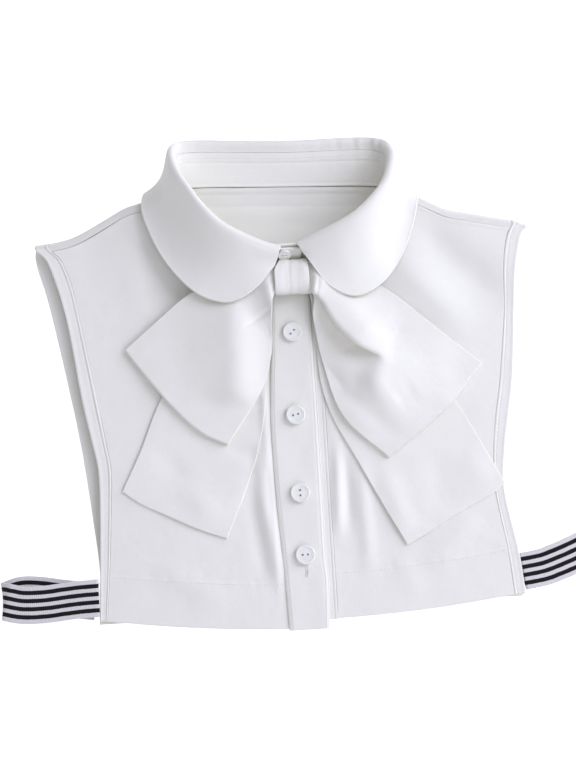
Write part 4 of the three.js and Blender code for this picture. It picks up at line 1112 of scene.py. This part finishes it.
def bow_loop(name):
    plan = bow_patch(name)
    pleat = Pleat(PLEAT) if name == "right loop" else None
    top_share = (1 - LOOP_TURN_SHARE) / 2

    def layers(out, across):
        """The upper and the lower layer of the loop at the same place in plan."""
        lower = plan(out, across)
        settled = smooth(out, *LOOP_SETTLE)
        far, outer = smooth(out, *LOOP_DROOP["out"]), smooth(across, *LOOP_DROOP["across"])
        droop = far * (LOOP_DROOP["end"] + LOOP_DROOP["corner"] * outer)
        beside = 1 - smooth(across, 0, LOOP_LOW_EDGE["across"])
        droop = droop + LOOP_LOW_EDGE["fall"] * beside * settled
        lower[..., 2] = mix(LOOP_AT_KNOT["lower"], LOOP_LOWER_Z, settled) - droop
        upper = lower.copy()
        x, y = upper[..., 0], upper[..., 1]
        rise = line_folds(LOOP_FOLDS[name], x, y) + uneven("loop", x, y)
        if pleat:
            shift, step = pleat.at(x, y)
            upper[..., :2] += shift
            rise = rise + step
        in_mouth = 1 - smooth(across, *LOOP_MOUTH["across"])
        mouth = LOOP_MOUTH["height"] * bump(out, LOOP_MOUTH["place"], LOOP_MOUTH["reach"]) * in_mouth
        rise = rise + LOOP_PUFF * np.sin(math.pi * across) + mouth
        at_end = smooth(out, LOOP_END["from"], 1)
        rise = rise * smooth(out, *LOOP_LIFTS_FROM_KNOT) * mix(1, LOOP_END["kept"][name], at_end)
        upper_z = mix(LOOP_UPPER_Z[name], LOOP_LOWER_Z + LOOP_LOW_EDGE["gap"], beside)
        base = mix(LOOP_AT_KNOT["upper"], upper_z, settled) - droop
        puffed = mix(base, lower[..., 2] + LOOP_END["gap"], at_end) + rise
        upper[..., 2] = np.maximum(puffed, lower[..., 2] + LOOP_LAYER_GAP)
        return upper, lower

    def surface(across, v):
        out = np.clip(np.where(v < 0.5, v, 1 - v) / top_share, 0, 1)
        upper, lower = layers(out, across)
        at_end = np.ones_like(out)
        upper_end, lower_end = layers(at_end, across)
        radius = (upper_end[..., 2] - lower_end[..., 2]) / 2
        angle = math.pi * np.clip((v - top_share) / LOOP_TURN_SHARE, 0, 1)
        beyond = unit((plan(at_end, across) - plan(at_end - LAST_STRETCH, across)) * [1, 1, 0])
        turning = lower_end + beyond * (radius * np.sin(angle))[..., None]
        turning[..., 2] = lower_end[..., 2] + radius * (1 + np.cos(angle))
        place = np.where((v <= top_share)[..., None], upper, lower)
        return np.where(((v > top_share) & (v < 1 - top_share))[..., None], turning, place)

    grid, side = GRIDS["loop"], rounded(LOOP_WIDTH)
    vs = np.concatenate([
        np.linspace(0, top_share, grid["upper"]),
        np.linspace(top_share, 1 - top_share, grid["turn"])[1:-1],
        np.linspace(1 - top_share, 1, grid["lower"]),
    ])
    return Cloth(surface, spread(0, 1, grid["across"], side, side), vs, RIBBON_CLOTH, face=-SIDE[name])


def bow_wrap():
    power = 2 / WRAP_SQUARENESS

    def shaped(value):
        return np.sign(value) * np.abs(value) ** power

    def surface(u, v):
        angle = 2 * math.pi * u
        waist = bump(v, WRAP_WAIST["place"], WRAP_WAIST["width"])
        y = WRAP["y"] + (1 - WRAP_WAIST["across"] * waist) * WRAP["width"] * shaped(np.cos(angle))
        depth = WRAP_WAIST["depth"] * waist * smooth(np.sin(angle), 0, WRAP_WAIST["front"])
        z = WRAP["z"] + (1 - depth) * WRAP["height"] * shaped(np.sin(angle))
        covered = smooth(y, WRAP_COVERED["from_y"], WRAP_COVERED["to_y"])
        left = WRAP["left"] + WRAP_COVERED["left"] * covered
        right = WRAP["right"] - WRAP_COVERED["right"] * covered
        return np.stack([mix(left, right, v), y, z], axis=-1)

    def relief(u, v, middle):
        drift = WRAP_DRIFT["share"] * np.sin(4 * math.pi * u + WRAP_DRIFT["shift"])
        drawn = sum(rise * bump(v, place + side * drift, width) for place, width, rise, side in WRAP_FOLDS)
        return drawn + uneven("wrap", u * WRAP_CUT[0], v * WRAP_CUT[1])

    grid, side = GRIDS["wrap"], rounded(WRAP_CUT[1])
    us, vs = np.linspace(0, 1, grid["round"]), spread(0, 1, grid["across"], side, side)
    return Cloth(surface, us, vs, WRAP_CLOTH, ring=True, relief=relief)


def elastic(side):
    front, back = Curve(STRAPS[side]["front"]), Curve(STRAPS[side]["back"])
    lower_z = ELASTIC / 2
    radius = (FRONT_Z - lower_z) / 2
    half = (1 - STRAP_TURN_SHARE) / 2

    def surface(u, v):
        across = STRAP_WIDTH * (0.5 - u)
        angle = math.pi * np.clip((v - half) / STRAP_TURN_SHARE, 0, 1)
        turning = smooth(angle, 0, math.pi)[..., None]
        front_share = np.clip(v / half, 0, 1)
        back_share = np.clip((v - 1 + half) / half, 0, 1)
        place = mix(front.point(front_share), back.point(back_share), turning)
        heading = unit(mix(front.tangent(front_share), -back.tangent(back_share), turning))
        sideways = np.stack([-heading[..., 1], heading[..., 0], 0 * across], axis=-1)
        place = place + heading * (radius * np.sin(angle))[..., None]
        place = place + sideways * (across * np.sign(heading[..., 0]))[..., None]
        place[..., 2] = lower_z + radius * (1 + np.cos(angle))
        return place

    grid = GRIDS["elastic"]
    us = spread(0, 1, grid["across"], grid["sides"], grid["sides"])
    flat = spread(0, half, grid["flat"], grid["ends"])
    vs = np.concatenate([flat, np.linspace(half, 1 - half, grid["turn"])[1:-1], 1 - flat[::-1]])
    return Cloth(surface, us, vs, ELASTIC, face=-1 if side == "left" else 1)


# Buttons, buttonholes and stitches


def button_profile(button):
    """Radius and height pairs of a turned button, from the middle of its back to the middle of its face."""
    radius, height, rim, dish = (button[k] for k in ("radius", "height", "rim", "dish"))
    foot, shoulder, lip = TURNING["foot"], height * TURNING["shoulder"], TURNING["lip"]
    crown = (radius - dish) / 2
    side = [
        (radius * (foot + (1 - foot) * math.sin(a)), shoulder * (1 - math.cos(a)))
        for a in np.linspace(0, math.pi / 2, 7)]
    top = [
        (radius - crown + crown * math.cos(a), height - lip + lip * math.sin(a))
        for a in np.linspace(*TURNING["crown"], 12)]
    hollow = [
        (dish * k, height - rim * smooth(1 - k, *TURNING["hollow"]))
        for k in np.linspace(0.96, 0.0, 14)]
    return [(0.0, 0.0), *side, *top, *hollow]


def turned_body(profile, sides):
    """Points and faces of a body turned about its upright axis."""
    angles = np.linspace(0, 2 * math.pi, sides, endpoint=False)
    rings = profile[1:-1]
    points = [(0.0, 0.0, 0.0)]
    for r, z in rings:
        points += [(float(r * math.cos(a)), float(r * math.sin(a)), float(z)) for a in angles]
    points.append((0.0, 0.0, float(profile[-1][1])))
    top, last = 1 + (len(rings) - 1) * sides, len(points) - 1
    faces = []
    for k in range(sides):
        n = (k + 1) % sides
        faces.append([0, 1 + n, 1 + k])
        for a in range(1, top, sides):
            faces.append([a + k, a + n, a + sides + n, a + sides + k])
        faces.append([top + k, top + n, last])
    return points, faces


def turned_button(name, button, place, turn, tilt=0.0):
    """A smooth turned button with its two holes, laid in its place."""
    made = raw_piece(name, *turned_body(button_profile(button), BUTTON_SIDES))
    for side in (-1, 1):
        bpy.ops.mesh.primitive_cylinder_add(
            vertices=DRILL_SIDES, radius=button["hole"], depth=4 * button["height"],
            location=(side * button["spacing"] / 2, 0, button["height"] / 2))
        drill = bpy.context.object
        cut = made.modifiers.new("hole", "BOOLEAN")
        cut.operation, cut.object, cut.solver = "DIFFERENCE", drill, "EXACT"
        apply_modifier(made, cut)
        bpy.data.objects.remove(drill)
    made.data.shade_smooth()
    made.data.set_sharp_from_angle(angle=SHARP_ANGLE)
    turned = Matrix.Rotation(tilt, 4, "X") @ Matrix.Rotation(math.radians(turn), 4, "Z")
    laid = Matrix.Translation(Vector(place) - Vector(OUTLINE_CENTRE)) @ turned
    made.data.transform(Matrix.Scale(MM, 4) @ laid)
    return made


def apply_modifier(made, modifier):
    """Bakes one modifier into the object's mesh."""
    depsgraph = bpy.context.evaluated_depsgraph_get()
    final = bpy.data.meshes.new_from_object(made.evaluated_get(depsgraph))
    made.modifiers.remove(modifier)
    old, name = made.data, made.data.name
    made.data = final
    bpy.data.meshes.remove(old)
    final.name = name


class Thread:
    """Collects short rounded stitches and makes them one mesh."""

    # Sides of a stitch, how far it is full to either side of its middle, and half the run that gives its
    # heading
    SIDES = 6
    FULL_SHARE = 0.34
    HALF_STEP = 0.4

    def __init__(self):
        self.points, self.faces = [], []

    def stitch(self, middle, along, up, length, width, height):
        along, up = unit(np.array(along, float)), unit(np.array(up, float))
        sideways = unit(np.cross(up, along))
        up = np.cross(along, sideways)
        ring = []
        for a in np.linspace(0, 2 * math.pi, self.SIDES, endpoint=False):
            ring.append(sideways * (math.cos(a) * width / 2) + up * (math.sin(a) * height / 2))
        first, last = len(self.points), len(self.points) + 1 + 2 * self.SIDES
        self.points.append(middle - along * (length / 2))
        for share in (-self.FULL_SHARE, self.FULL_SHARE):
            self.points += [middle + along * (share * length) + offset for offset in ring]
        self.points.append(middle + along * (length / 2))
        near, far = first + 1, first + 1 + self.SIDES
        for k in range(self.SIDES):
            m = (k + 1) % self.SIDES
            self.faces.append((first, near + m, near + k))
            self.faces.append((near + k, near + m, far + m, far + k))
            self.faces.append((far + k, far + m, last))

    def row(self, places):
        """A row of stitches along a line of points."""
        points, ups = places
        run = np.concatenate([[0], np.cumsum(length_of(np.diff(points, axis=0))[:, 0])])

        def at(rows, length):
            return np.array([np.interp(length, run, rows[:, c]) for c in range(3)])

        count = int(run[-1] / STITCH["pitch"])
        size = [STITCH[name] for name in ("length", "width", "height")]
        for k in range(count):
            middle = (k + 0.5) * run[-1] / count
            low, high = at(points, middle - self.HALF_STEP), at(points, middle + self.HALF_STEP)
            self.stitch((low + high) / 2, high - low, at(ups, middle), *size)

    def piece(self, name):
        return mesh_piece(name, self.points, self.faces)


def buttonhole(thread, x, y, half):
    """Satin stitches along both sides of a slit, with a bar across its lower end."""
    hole, bar, up = BUTTONHOLE, BUTTONHOLE_BAR, (0, 0, 1)
    size, beside = (hole["pitch"], hole["height"]), (hole["slit"] + hole["bead"]) / 2
    for at in np.linspace(y - half, y + half, int(2 * half / hole["pitch"])):
        for side in (-1, 1):
            place = np.array([x + side * beside, at, BAND_TOP + BUTTONHOLE_LIFT["stitches"]])
            thread.stitch(place, (1, hole["slant"] * side, 0), up, hole["bead"], *size)
    for at in np.linspace(bar["from"], bar["to"], bar["stitches"]):
        place = np.array([x, y - half + at, BAND_TOP + BUTTONHOLE_LIFT["bar"]])
        thread.stitch(place, (1, 0, 0), up, bar["length"], *size)


def slit(x, y):
    """The narrow opening of a buttonhole: a thin box just above the cloth that carries its painted shade."""
    w, half, z = BUTTONHOLE["slit"] / 2, BUTTONHOLE["slit_half"], BAND_TOP + BUTTONHOLE_LIFT["slit"]
    rim = [(x - w, y - half), (x + w, y - half), (x + w, y + half), (x - w, y + half)]
    points = [(*corner, height) for height in (z, z - SLIT_DEPTH) for corner in rim]
    return points, [[0, 1, 2, 3], [7, 6, 5, 4], *([k, k + 4, (k + 1) % 4 + 4, (k + 1) % 4] for k in range(4))]


# Finishes


class Value:
    """A number or colour over a surface, with the operators that the finishes use."""

    def __init__(self, finish, socket):
        self.finish, self.socket = finish, socket

    def math(self, operation, *others, swap=False):
        inputs = [self, *others]
        if swap:
            inputs.reverse()
        return self.finish.node("ShaderNodeMath", {"operation": operation}, dict(enumerate(inputs))).out()

    def __add__(self, other):
        return self.math("ADD", other)

    __radd__ = __add__

    def __mul__(self, other):
        return self.math("MULTIPLY", other)

    __rmul__ = __mul__

    def __sub__(self, other):
        return self.math("SUBTRACT", other)

    def __rsub__(self, other):
        return self.math("SUBTRACT", other, swap=True)

    def sin(self):
        return self.math("SINE")

    def step(self, low, high):
        """0 below low, 1 above high, and smooth between them."""
        settings = {"interpolation_type": "SMOOTHSTEP"}
        sockets = {"Value": self, "From Min": low, "From Max": high}
        return self.finish.node("ShaderNodeMapRange", settings, sockets).out()


class Node:
    """A node of a finish, whose outputs are values."""

    def __init__(self, finish, made):
        self.finish, self.made = finish, made

    def out(self, name=0):
        return Value(self.finish, self.made.outputs[name])


class Finish:
    """A material built from nodes."""

    def __init__(self, name, **shader):
        self.material = bpy.data.materials.new(name)
        self.material.use_nodes = True
        self.tree = self.material.node_tree
        self.shader = self.tree.nodes["Principled BSDF"]
        for socket, value in shader.items():
            self.shader.inputs[socket.replace("_", " ").title().replace("Ior", "IOR")].default_value = value

    def node(self, kind, settings, sockets):
        made = self.tree.nodes.new(kind)
        for name, value in settings.items():
            setattr(made, name, value)
        for name, value in sockets.items():
            self.feed(made.inputs[name], value)
        return Node(self, made)

    def feed(self, socket, value):
        if isinstance(value, Value):
            self.tree.links.new(value.socket, socket)
        else:
            socket.default_value = value

    def blend(self, factor, low, high):
        """A colour between two colours."""
        mixed = self.node("ShaderNodeMix", {"data_type": "RGBA"}, {0: factor, 6: low, 7: high})
        return mixed.out(2)

    def noise(self, place, scale, detail):
        return self.node("ShaderNodeTexNoise", {}, {"Vector": place, "Scale": scale, "Detail": detail}).out(0)

    def threads(self):
        """The place in the cloth's own lengths, in millimetres."""
        place = self.node("ShaderNodeAttribute", {"attribute_name": "weave"}, {}).out("Vector")
        parts = self.node("ShaderNodeSeparateXYZ", {}, {0: place})
        return place, parts.out(0), parts.out(1)

    def colour(self, value):
        self.feed(self.shader.inputs["Base Color"], value)

    def roughness(self, value):
        self.feed(self.shader.inputs["Roughness"], value)

    def relief(self, height):
        """Fine relief, its height in millimetres."""
        made = self.node("ShaderNodeBump", {}, {"Strength": 1.0, "Distance": MM, "Height": height})
        self.feed(self.shader.inputs["Normal"], made.out("Normal"))

    def object_place(self):
        return self.node("ShaderNodeTexCoord", {}, {}).out("Object")


# Colours, each from its darker to its lighter end
CLOTH_WHITE = (0.875, 0.863, 0.765, 1), (0.9, 0.888, 0.79, 1)
# The bow's white is the cloth white lifted a little: painted light that makes the bow come out brighter than
# the bib
BOW_LIFTED_WHITE = (0.895, 0.883, 0.782, 1), (0.92, 0.908, 0.805, 1)
ELASTIC_WHITE = (0.64, 0.625, 0.59, 1), (0.8, 0.785, 0.745, 1)
STRIPE_BLACK = (0.006, 0.004, 0.005, 1), (0.022, 0.017, 0.02, 1)
BUTTON_WHITE = (0.83, 0.83, 0.75, 1), (0.89, 0.885, 0.8, 1)
THREAD_WHITE = (0.76, 0.755, 0.7, 1), (0.85, 0.845, 0.785, 1)
# The grey of the buttonhole openings is painted shade, standing in for the dark inside of each slit
SLIT_SHADE_GREY = (0.36, 0.35, 0.33, 1), (0.5, 0.49, 0.46, 1)
PAPER_WHITE = (0.86, 0.86, 0.865, 1), (0.88, 0.88, 0.88, 1)

# Noise in features to the millimetre for cloth, and to the metre for the rest, with its detail
SLUBS, CREASES, CLOUD = (0.9, 3.0), (0.16, 2.0), (0.03, 2.0)
YARN, STRIPE_WANDER = (1.6, 3.0), (0.25, 2.0)
BUTTON_CLOUD, THREAD_TWIST, SLIT_NOISE = (260.0, 3.0), (3000.0, 1.0), (900.0, 2.0)
SLUB_HEIGHT = 1.6

# Where a cloud of noise turns from the darker to the lighter colour, and roughness with its drift
CLOTH_CLOUDING, BUTTON_CLOUDING = (0.35, 0.65), (0.3, 0.7)
CLOTH_ROUGHNESS, BUTTON_ROUGHNESS = (0.78, 0.12), (0.36, 0.12)

# The elastic's stripes, ribs and cords
STRIPES = {"count": 4, "width": 2.55, "space": 2.2, "soft": 0.12, "wander": 0.35, "ragged": 0.05}
RIBS = {"pitch": 0.9, "height": 0.05}
CORDS = {"pitch": 1.1, "height": 0.04}
YARN_HEIGHT = 0.05


def waves(value, pitch):
    """Ridges of thread at a pitch in millimetres."""
    return (value * (2 * math.pi / pitch)).sin()


def woven_white(name, pitch, thread_depth, crease_depth, whites=CLOTH_WHITE):
    """White plain weave with slight slubs and a soft crumpled relief."""
    finish = Finish(name, roughness=0.82, sheen_weight=0.12, sheen_roughness=0.5, specular_ior_level=0.25)
    place, across, along = finish.threads()
    weave = waves(across, pitch) * waves(along, pitch)
    slubs, creases, cloud = (finish.noise(place, *noise) for noise in (SLUBS, CREASES, CLOUD))
    finish.colour(finish.blend((cloud * 0.5 + slubs * 0.5).step(*CLOTH_CLOUDING), *whites))
    base, drift = CLOTH_ROUGHNESS
    finish.roughness(base + slubs * drift)
    finish.relief(weave * thread_depth + slubs * thread_depth * SLUB_HEIGHT + creases * crease_depth)
    return finish.material


def striped_elastic(name):
    """Ribbed elastic with dark stripes on white."""
    count, width, space, soft = (STRIPES[key] for key in ("count", "width", "space", "soft"))
    margin = (STRAP_WIDTH - count * width - (count - 1) * space) / 2
    finish = Finish(name, roughness=0.85, sheen_weight=0.05, sheen_roughness=0.4, specular_ior_level=0.15)
    place, across, along = finish.threads()
    ribs, cords, yarn = waves(along, RIBS["pitch"]), waves(across, CORDS["pitch"]), finish.noise(place, *YARN)
    wander = (finish.noise(place, *STRIPE_WANDER) - 0.5) * STRIPES["wander"]
    edge = across + (wander + ribs * STRIPES["ragged"])
    dark = 0.0
    for k in range(count):
        low = margin + k * (width + space)
        high = low + width
        dark = edge.step(low - soft, low + soft) - edge.step(high - soft, high + soft) + dark
    white, black = finish.blend(yarn, *ELASTIC_WHITE), finish.blend(yarn, *STRIPE_BLACK)
    finish.colour(finish.blend(dark, white, black))
    finish.relief(ribs * RIBS["height"] + cords * CORDS["height"] + yarn * YARN_HEIGHT)
    return finish.material


def pearl_button(name):
    """Milky button with a light gloss."""
    finish = Finish(name, roughness=0.4, coat_weight=0.25, coat_roughness=0.2, specular_ior_level=0.4)
    cloud = finish.noise(finish.object_place(), *BUTTON_CLOUD)
    finish.colour(finish.blend(cloud.step(*BUTTON_CLOUDING), *BUTTON_WHITE))
    base, drift = BUTTON_ROUGHNESS
    finish.roughness(base + cloud * drift)
    return finish.material


def clouded(name, noise, colours, **shader):
    """A plain finish that drifts softly between two colours."""
    finish = Finish(name, **shader)
    finish.colour(finish.blend(finish.noise(finish.object_place(), *noise), *colours))
    return finish


def sewing_thread(name):
    """Twisted white thread."""
    shader = {"roughness": 0.6, "sheen_weight": 0.2, "specular_ior_level": 0.4}
    return clouded(name, THREAD_TWIST, THREAD_WHITE, **shader).material


def slit_shade(name):
    """Painted shade for the inside of a buttonhole, a flat dark grey."""
    return clouded(name, SLIT_NOISE, SLIT_SHADE_GREY, roughness=0.9).material


# Making the pieces

FINISHES = {
    "bib_cloth": woven_white("bib_cloth", pitch=0.55, thread_depth=0.03, crease_depth=0.16),
    "collar_cloth": woven_white("collar_cloth", pitch=0.5, thread_depth=0.03, crease_depth=0.12),
    # The bow's cloth is the bib's weave with a lighter white, painted light on the bow
    "bow_cloth": woven_white("bow_cloth", pitch=0.5, thread_depth=0.035, crease_depth=0.14, whites=BOW_LIFTED_WHITE),
    "striped_elastic": striped_elastic("striped_elastic"),
    "button": pearl_button("button"),
}
THREAD_FINISH = sewing_thread("sewing_thread")
SLIT_FINISH = slit_shade("slit_shade")


def place_piece(made, slot, nodes=(), finish=None):
    """Gives a piece the finish of its slot, hangs it under the root, and hides the solids that it stands for.
    """
    made.data.materials.clear()
    made.data.materials.append(finish or FINISHES[slot])
    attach(made, "root")
    if nodes:
        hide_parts(*nodes)


# Cloth that is cut as a plain rectangle, or to a shape of its own
PLAIN, SHAPED = False, True


def sew(cloth, name, slot, node, flat, held, rests_on, shaped):
    """One cloth piece: its mesh, with threads laid over the size that it was cut to in millimetres, its
    finish and its place.
    """
    made = cloth.piece(name, flat)
    place_piece(made, slot, [node])
    size = (flat[0] * MM, flat[1] * MM)
    cloth.area() if shaped else None


back = back_bib()
fronts = {side: front_bib(side) for side in (-1, 1)}
bands = {side: armhole_band(side) for side in (-1, 1)}
placket = button_band()
under = under_band()
stand = neck_stand()
leaf = rounded_leaf()

BIB_PIECES = (
    (back, "back_bib", "back_panel", (300, 270), "folded", ["floor"], SHAPED),
    (fronts[-1], "left_front", "front_panel_left", (135, 262), "laid", ["back_bib"], SHAPED),
    (fronts[1], "right_front", "front_panel_right", (125, 252), "laid", ["back_bib"], SHAPED),
    (bands[-1], "left_armhole_band", "armhole_binding_left", (10, 470), "folded", ["floor"], PLAIN),
    (bands[1], "right_armhole_band", "armhole_binding_right", (10, 460), "folded", ["floor"], PLAIN),
    (placket, "button_band", "placket", (27, 218), "laid", ["left_front", "under_band"], PLAIN),
    (under, "under_band", "under_placket", (12.4, 212), "laid", ["right_front"], PLAIN),
)
for cloth, name, *rest in BIB_PIECES:
    sew(cloth, name, "bib_cloth", *rest)
sew(stand, "neck_stand", "collar_cloth", "collar_stand", (420, 20), "folded", ["back_bib"], PLAIN)
sew(leaf, "rounded_leaf", "collar_cloth", "collar_leaf", (480, 56), "folded", ["neck_stand"], SHAPED)

for side in ("left", "right"):
    tail, loop, strap = side + "_tail", side + "_loop", side + "_elastic"
    beneath = [side + "_front"]
    sew(bow_tail(side + " tail"), tail, "bow_cloth", "bow_tail_" + side, (74, 170), "laid", beneath, SHAPED)
    sew(bow_loop(side + " loop"), loop, "bow_cloth", "bow_loop_" + side, (90, 265), "folded", [tail], SHAPED)
    flat = (STRAP_WIDTH, 118)
    sew(elastic(side), strap, "striped_elastic", "strap_" + side, flat, "folded", ["floor"], PLAIN)

sew(bow_wrap(), "bow_wrap", "bow_cloth", "bow_knot", (58, 17.2), "folded", ["button_band"], PLAIN)


def front_button(k):
    """One button of the front, counted from the knot down."""
    spot = (BUTTONS["x"][k], BUTTONS["y"][k], BUTTON_Z)
    made = turned_button(f"front_button_{k + 1}", BUTTON, spot, BUTTONS["turn"][k])
    place_piece(made, "button", [f"button_{k + 1}"])


def throat_button():
    """The closing button of the stand, which leans with it."""
    low, high = (stand_point(np.array(0.0), np.array(rise)) for rise in (0.0, 1.0))
    lean = math.atan2(high[2] - low[2], high[1] - low[1])
    rise = (THROAT_BUTTON_Y - low[1]) / (high[1] - low[1])
    spot = np.array([THROAT_BUTTON_X, THROAT_BUTTON_Y, mix(low[2], high[2], rise)])
    spot = spot + np.array([0, -math.sin(lean), math.cos(lean)]) * (STAND_CLOTH / 2 + GAP)
    made = turned_button("throat_button", THROAT_BUTTON, tuple(spot), 0, lean)
    place_piece(made, "button", ["neck_button"])


for k in range(len(BUTTONS["x"])):
    front_button(k)
throat_button()

# Rows of stitches: the cloth, the edge that the row follows, its distance from it, the shares of the
# edge's length where it starts and ends, and the number of places along it
seams = {
    "hem_stitches": [(fronts[side], "v0", HEM_DEPTH - 0.9, 0.01, 0.99, 400) for side in (-1, 1)],
    "band_stitches": [
        (placket, "u0", 2.0, 0.005, 0.97, 400),
        (placket, "u1", 2.4, 0.005, 0.97, 400),
        (under, "u1", 1.9, 0.005, 0.9, 400),
    ],
    "armhole_stitches": [(bands[side], "u0", 1.95, 0.004, 0.5, 460) for side in (-1, 1)],
    "neck_stitches": [(stand, "v1", 4.4, 0.02, 0.98, 900)],
}
for name, rows in seams.items():
    thread = Thread()
    for cloth, *row in rows:
        thread.row(cloth.beside(*row))
    slot = "collar_cloth" if name == "neck_stitches" else "bib_cloth"
    place_piece(thread.piece(name), slot, finish=THREAD_FINISH)


def buttonholes():
    """The worked buttonholes of the band: all their thread, and all their openings."""
    thread, points, faces = Thread(), [], []
    for x, y, half in zip(*(BUTTONHOLES[name] for name in ("x", "y", "half"))):
        buttonhole(thread, x, y, half)
        opening, sides = slit(x, y)
        faces += [[corner + len(points) for corner in side] for side in sides]
        points += opening
    place_piece(thread.piece("buttonhole_stitches"), "bib_cloth", finish=THREAD_FINISH)
    # The openings are thin dark boxes of painted shade over the band
    made = mesh_piece("buttonhole_slits", points, faces)
    made.data.shade_flat()
    place_piece(made, "bib_cloth", finish=SLIT_FINISH)


buttonholes()

# Floor, lights and camera, in metres and degrees

FLOOR = {"size": 6, "below": 0.0002, "noise": (2.0, 2.0), "glow": 0.62}
SKY = {"colour": (0.825, 0.832, 0.975, 1), "strength": 0.595}
LAMPS = {
    "window": {"spot": (1.243, 0.58, 0.824), "size": 1.3, "power": 22.8, "tint": (0.8, 0.81, 1.0)},
    "bounce": {"spot": (0.6, -1.2, 1.0), "size": 0.9, "power": 6.5, "tint": (0.84, 0.84, 1.0)},
}
ELEVATION = math.radians(80.0)
TURN = math.radians(3.33)
DISTANCE = 1.2
LENS, SENSOR = 93.75, 36
CLIP = (0.05, 20)
TARGET = Vector((-0.0044, -0.00355, 0.005))


def white_floor():
    """A wide white floor that glows a little, so that it comes out plain white."""
    bpy.ops.mesh.primitive_plane_add(size=FLOOR["size"], location=(0, 0, -FLOOR["below"]))
    floor = bpy.context.object
    floor.name = "floor"
    paper = clouded("paper", FLOOR["noise"], PAPER_WHITE, roughness=0.95, specular_ior_level=0.1)
    paper.shader.inputs["Emission Color"].default_value = (1, 1, 1, 1)
    paper.shader.inputs["Emission Strength"].default_value = FLOOR["glow"]
    floor.data.materials.append(paper.material)


def lighting():
    """A pale sky, a window on the right and a weak light from the front."""
    world = bpy.data.worlds.new("studio")
    world.use_nodes = True
    sky = world.node_tree.nodes["Background"].inputs
    sky["Color"].default_value, sky["Strength"].default_value = SKY["colour"], SKY["strength"]
    bpy.context.scene.world = world
    for name, lamp in LAMPS.items():
        light = bpy.data.lights.new(name, "AREA")
        light.size, light.energy, light.color = lamp["size"], lamp["power"], lamp["tint"]
        made = in_scene(name, light)
        made.location = lamp["spot"]
        made.rotation_euler = (-Vector(lamp["spot"])).to_track_quat("-Z", "Y").to_euler()


def camera():
    """Almost straight above the collar, turned a little, with a long lens."""
    level = math.cos(ELEVATION)
    forward = Vector((math.sin(TURN) * level, math.cos(TURN) * level, -math.sin(ELEVATION)))
    right = Vector((math.cos(TURN), -math.sin(TURN), 0))
    data = bpy.data.cameras.new("camera")
    data.lens, data.sensor_width = LENS, SENSOR
    data.clip_start, data.clip_end = CLIP
    made = in_scene("camera", data)
    axes = Matrix((right, right.cross(forward), -forward)).transposed()
    made.matrix_world = Matrix.Translation(TARGET - forward * DISTANCE) @ axes.to_4x4()
    bpy.context.scene.camera = made


white_floor()
lighting()
camera()
bpy.context.scene.view_settings.view_transform = "Standard"
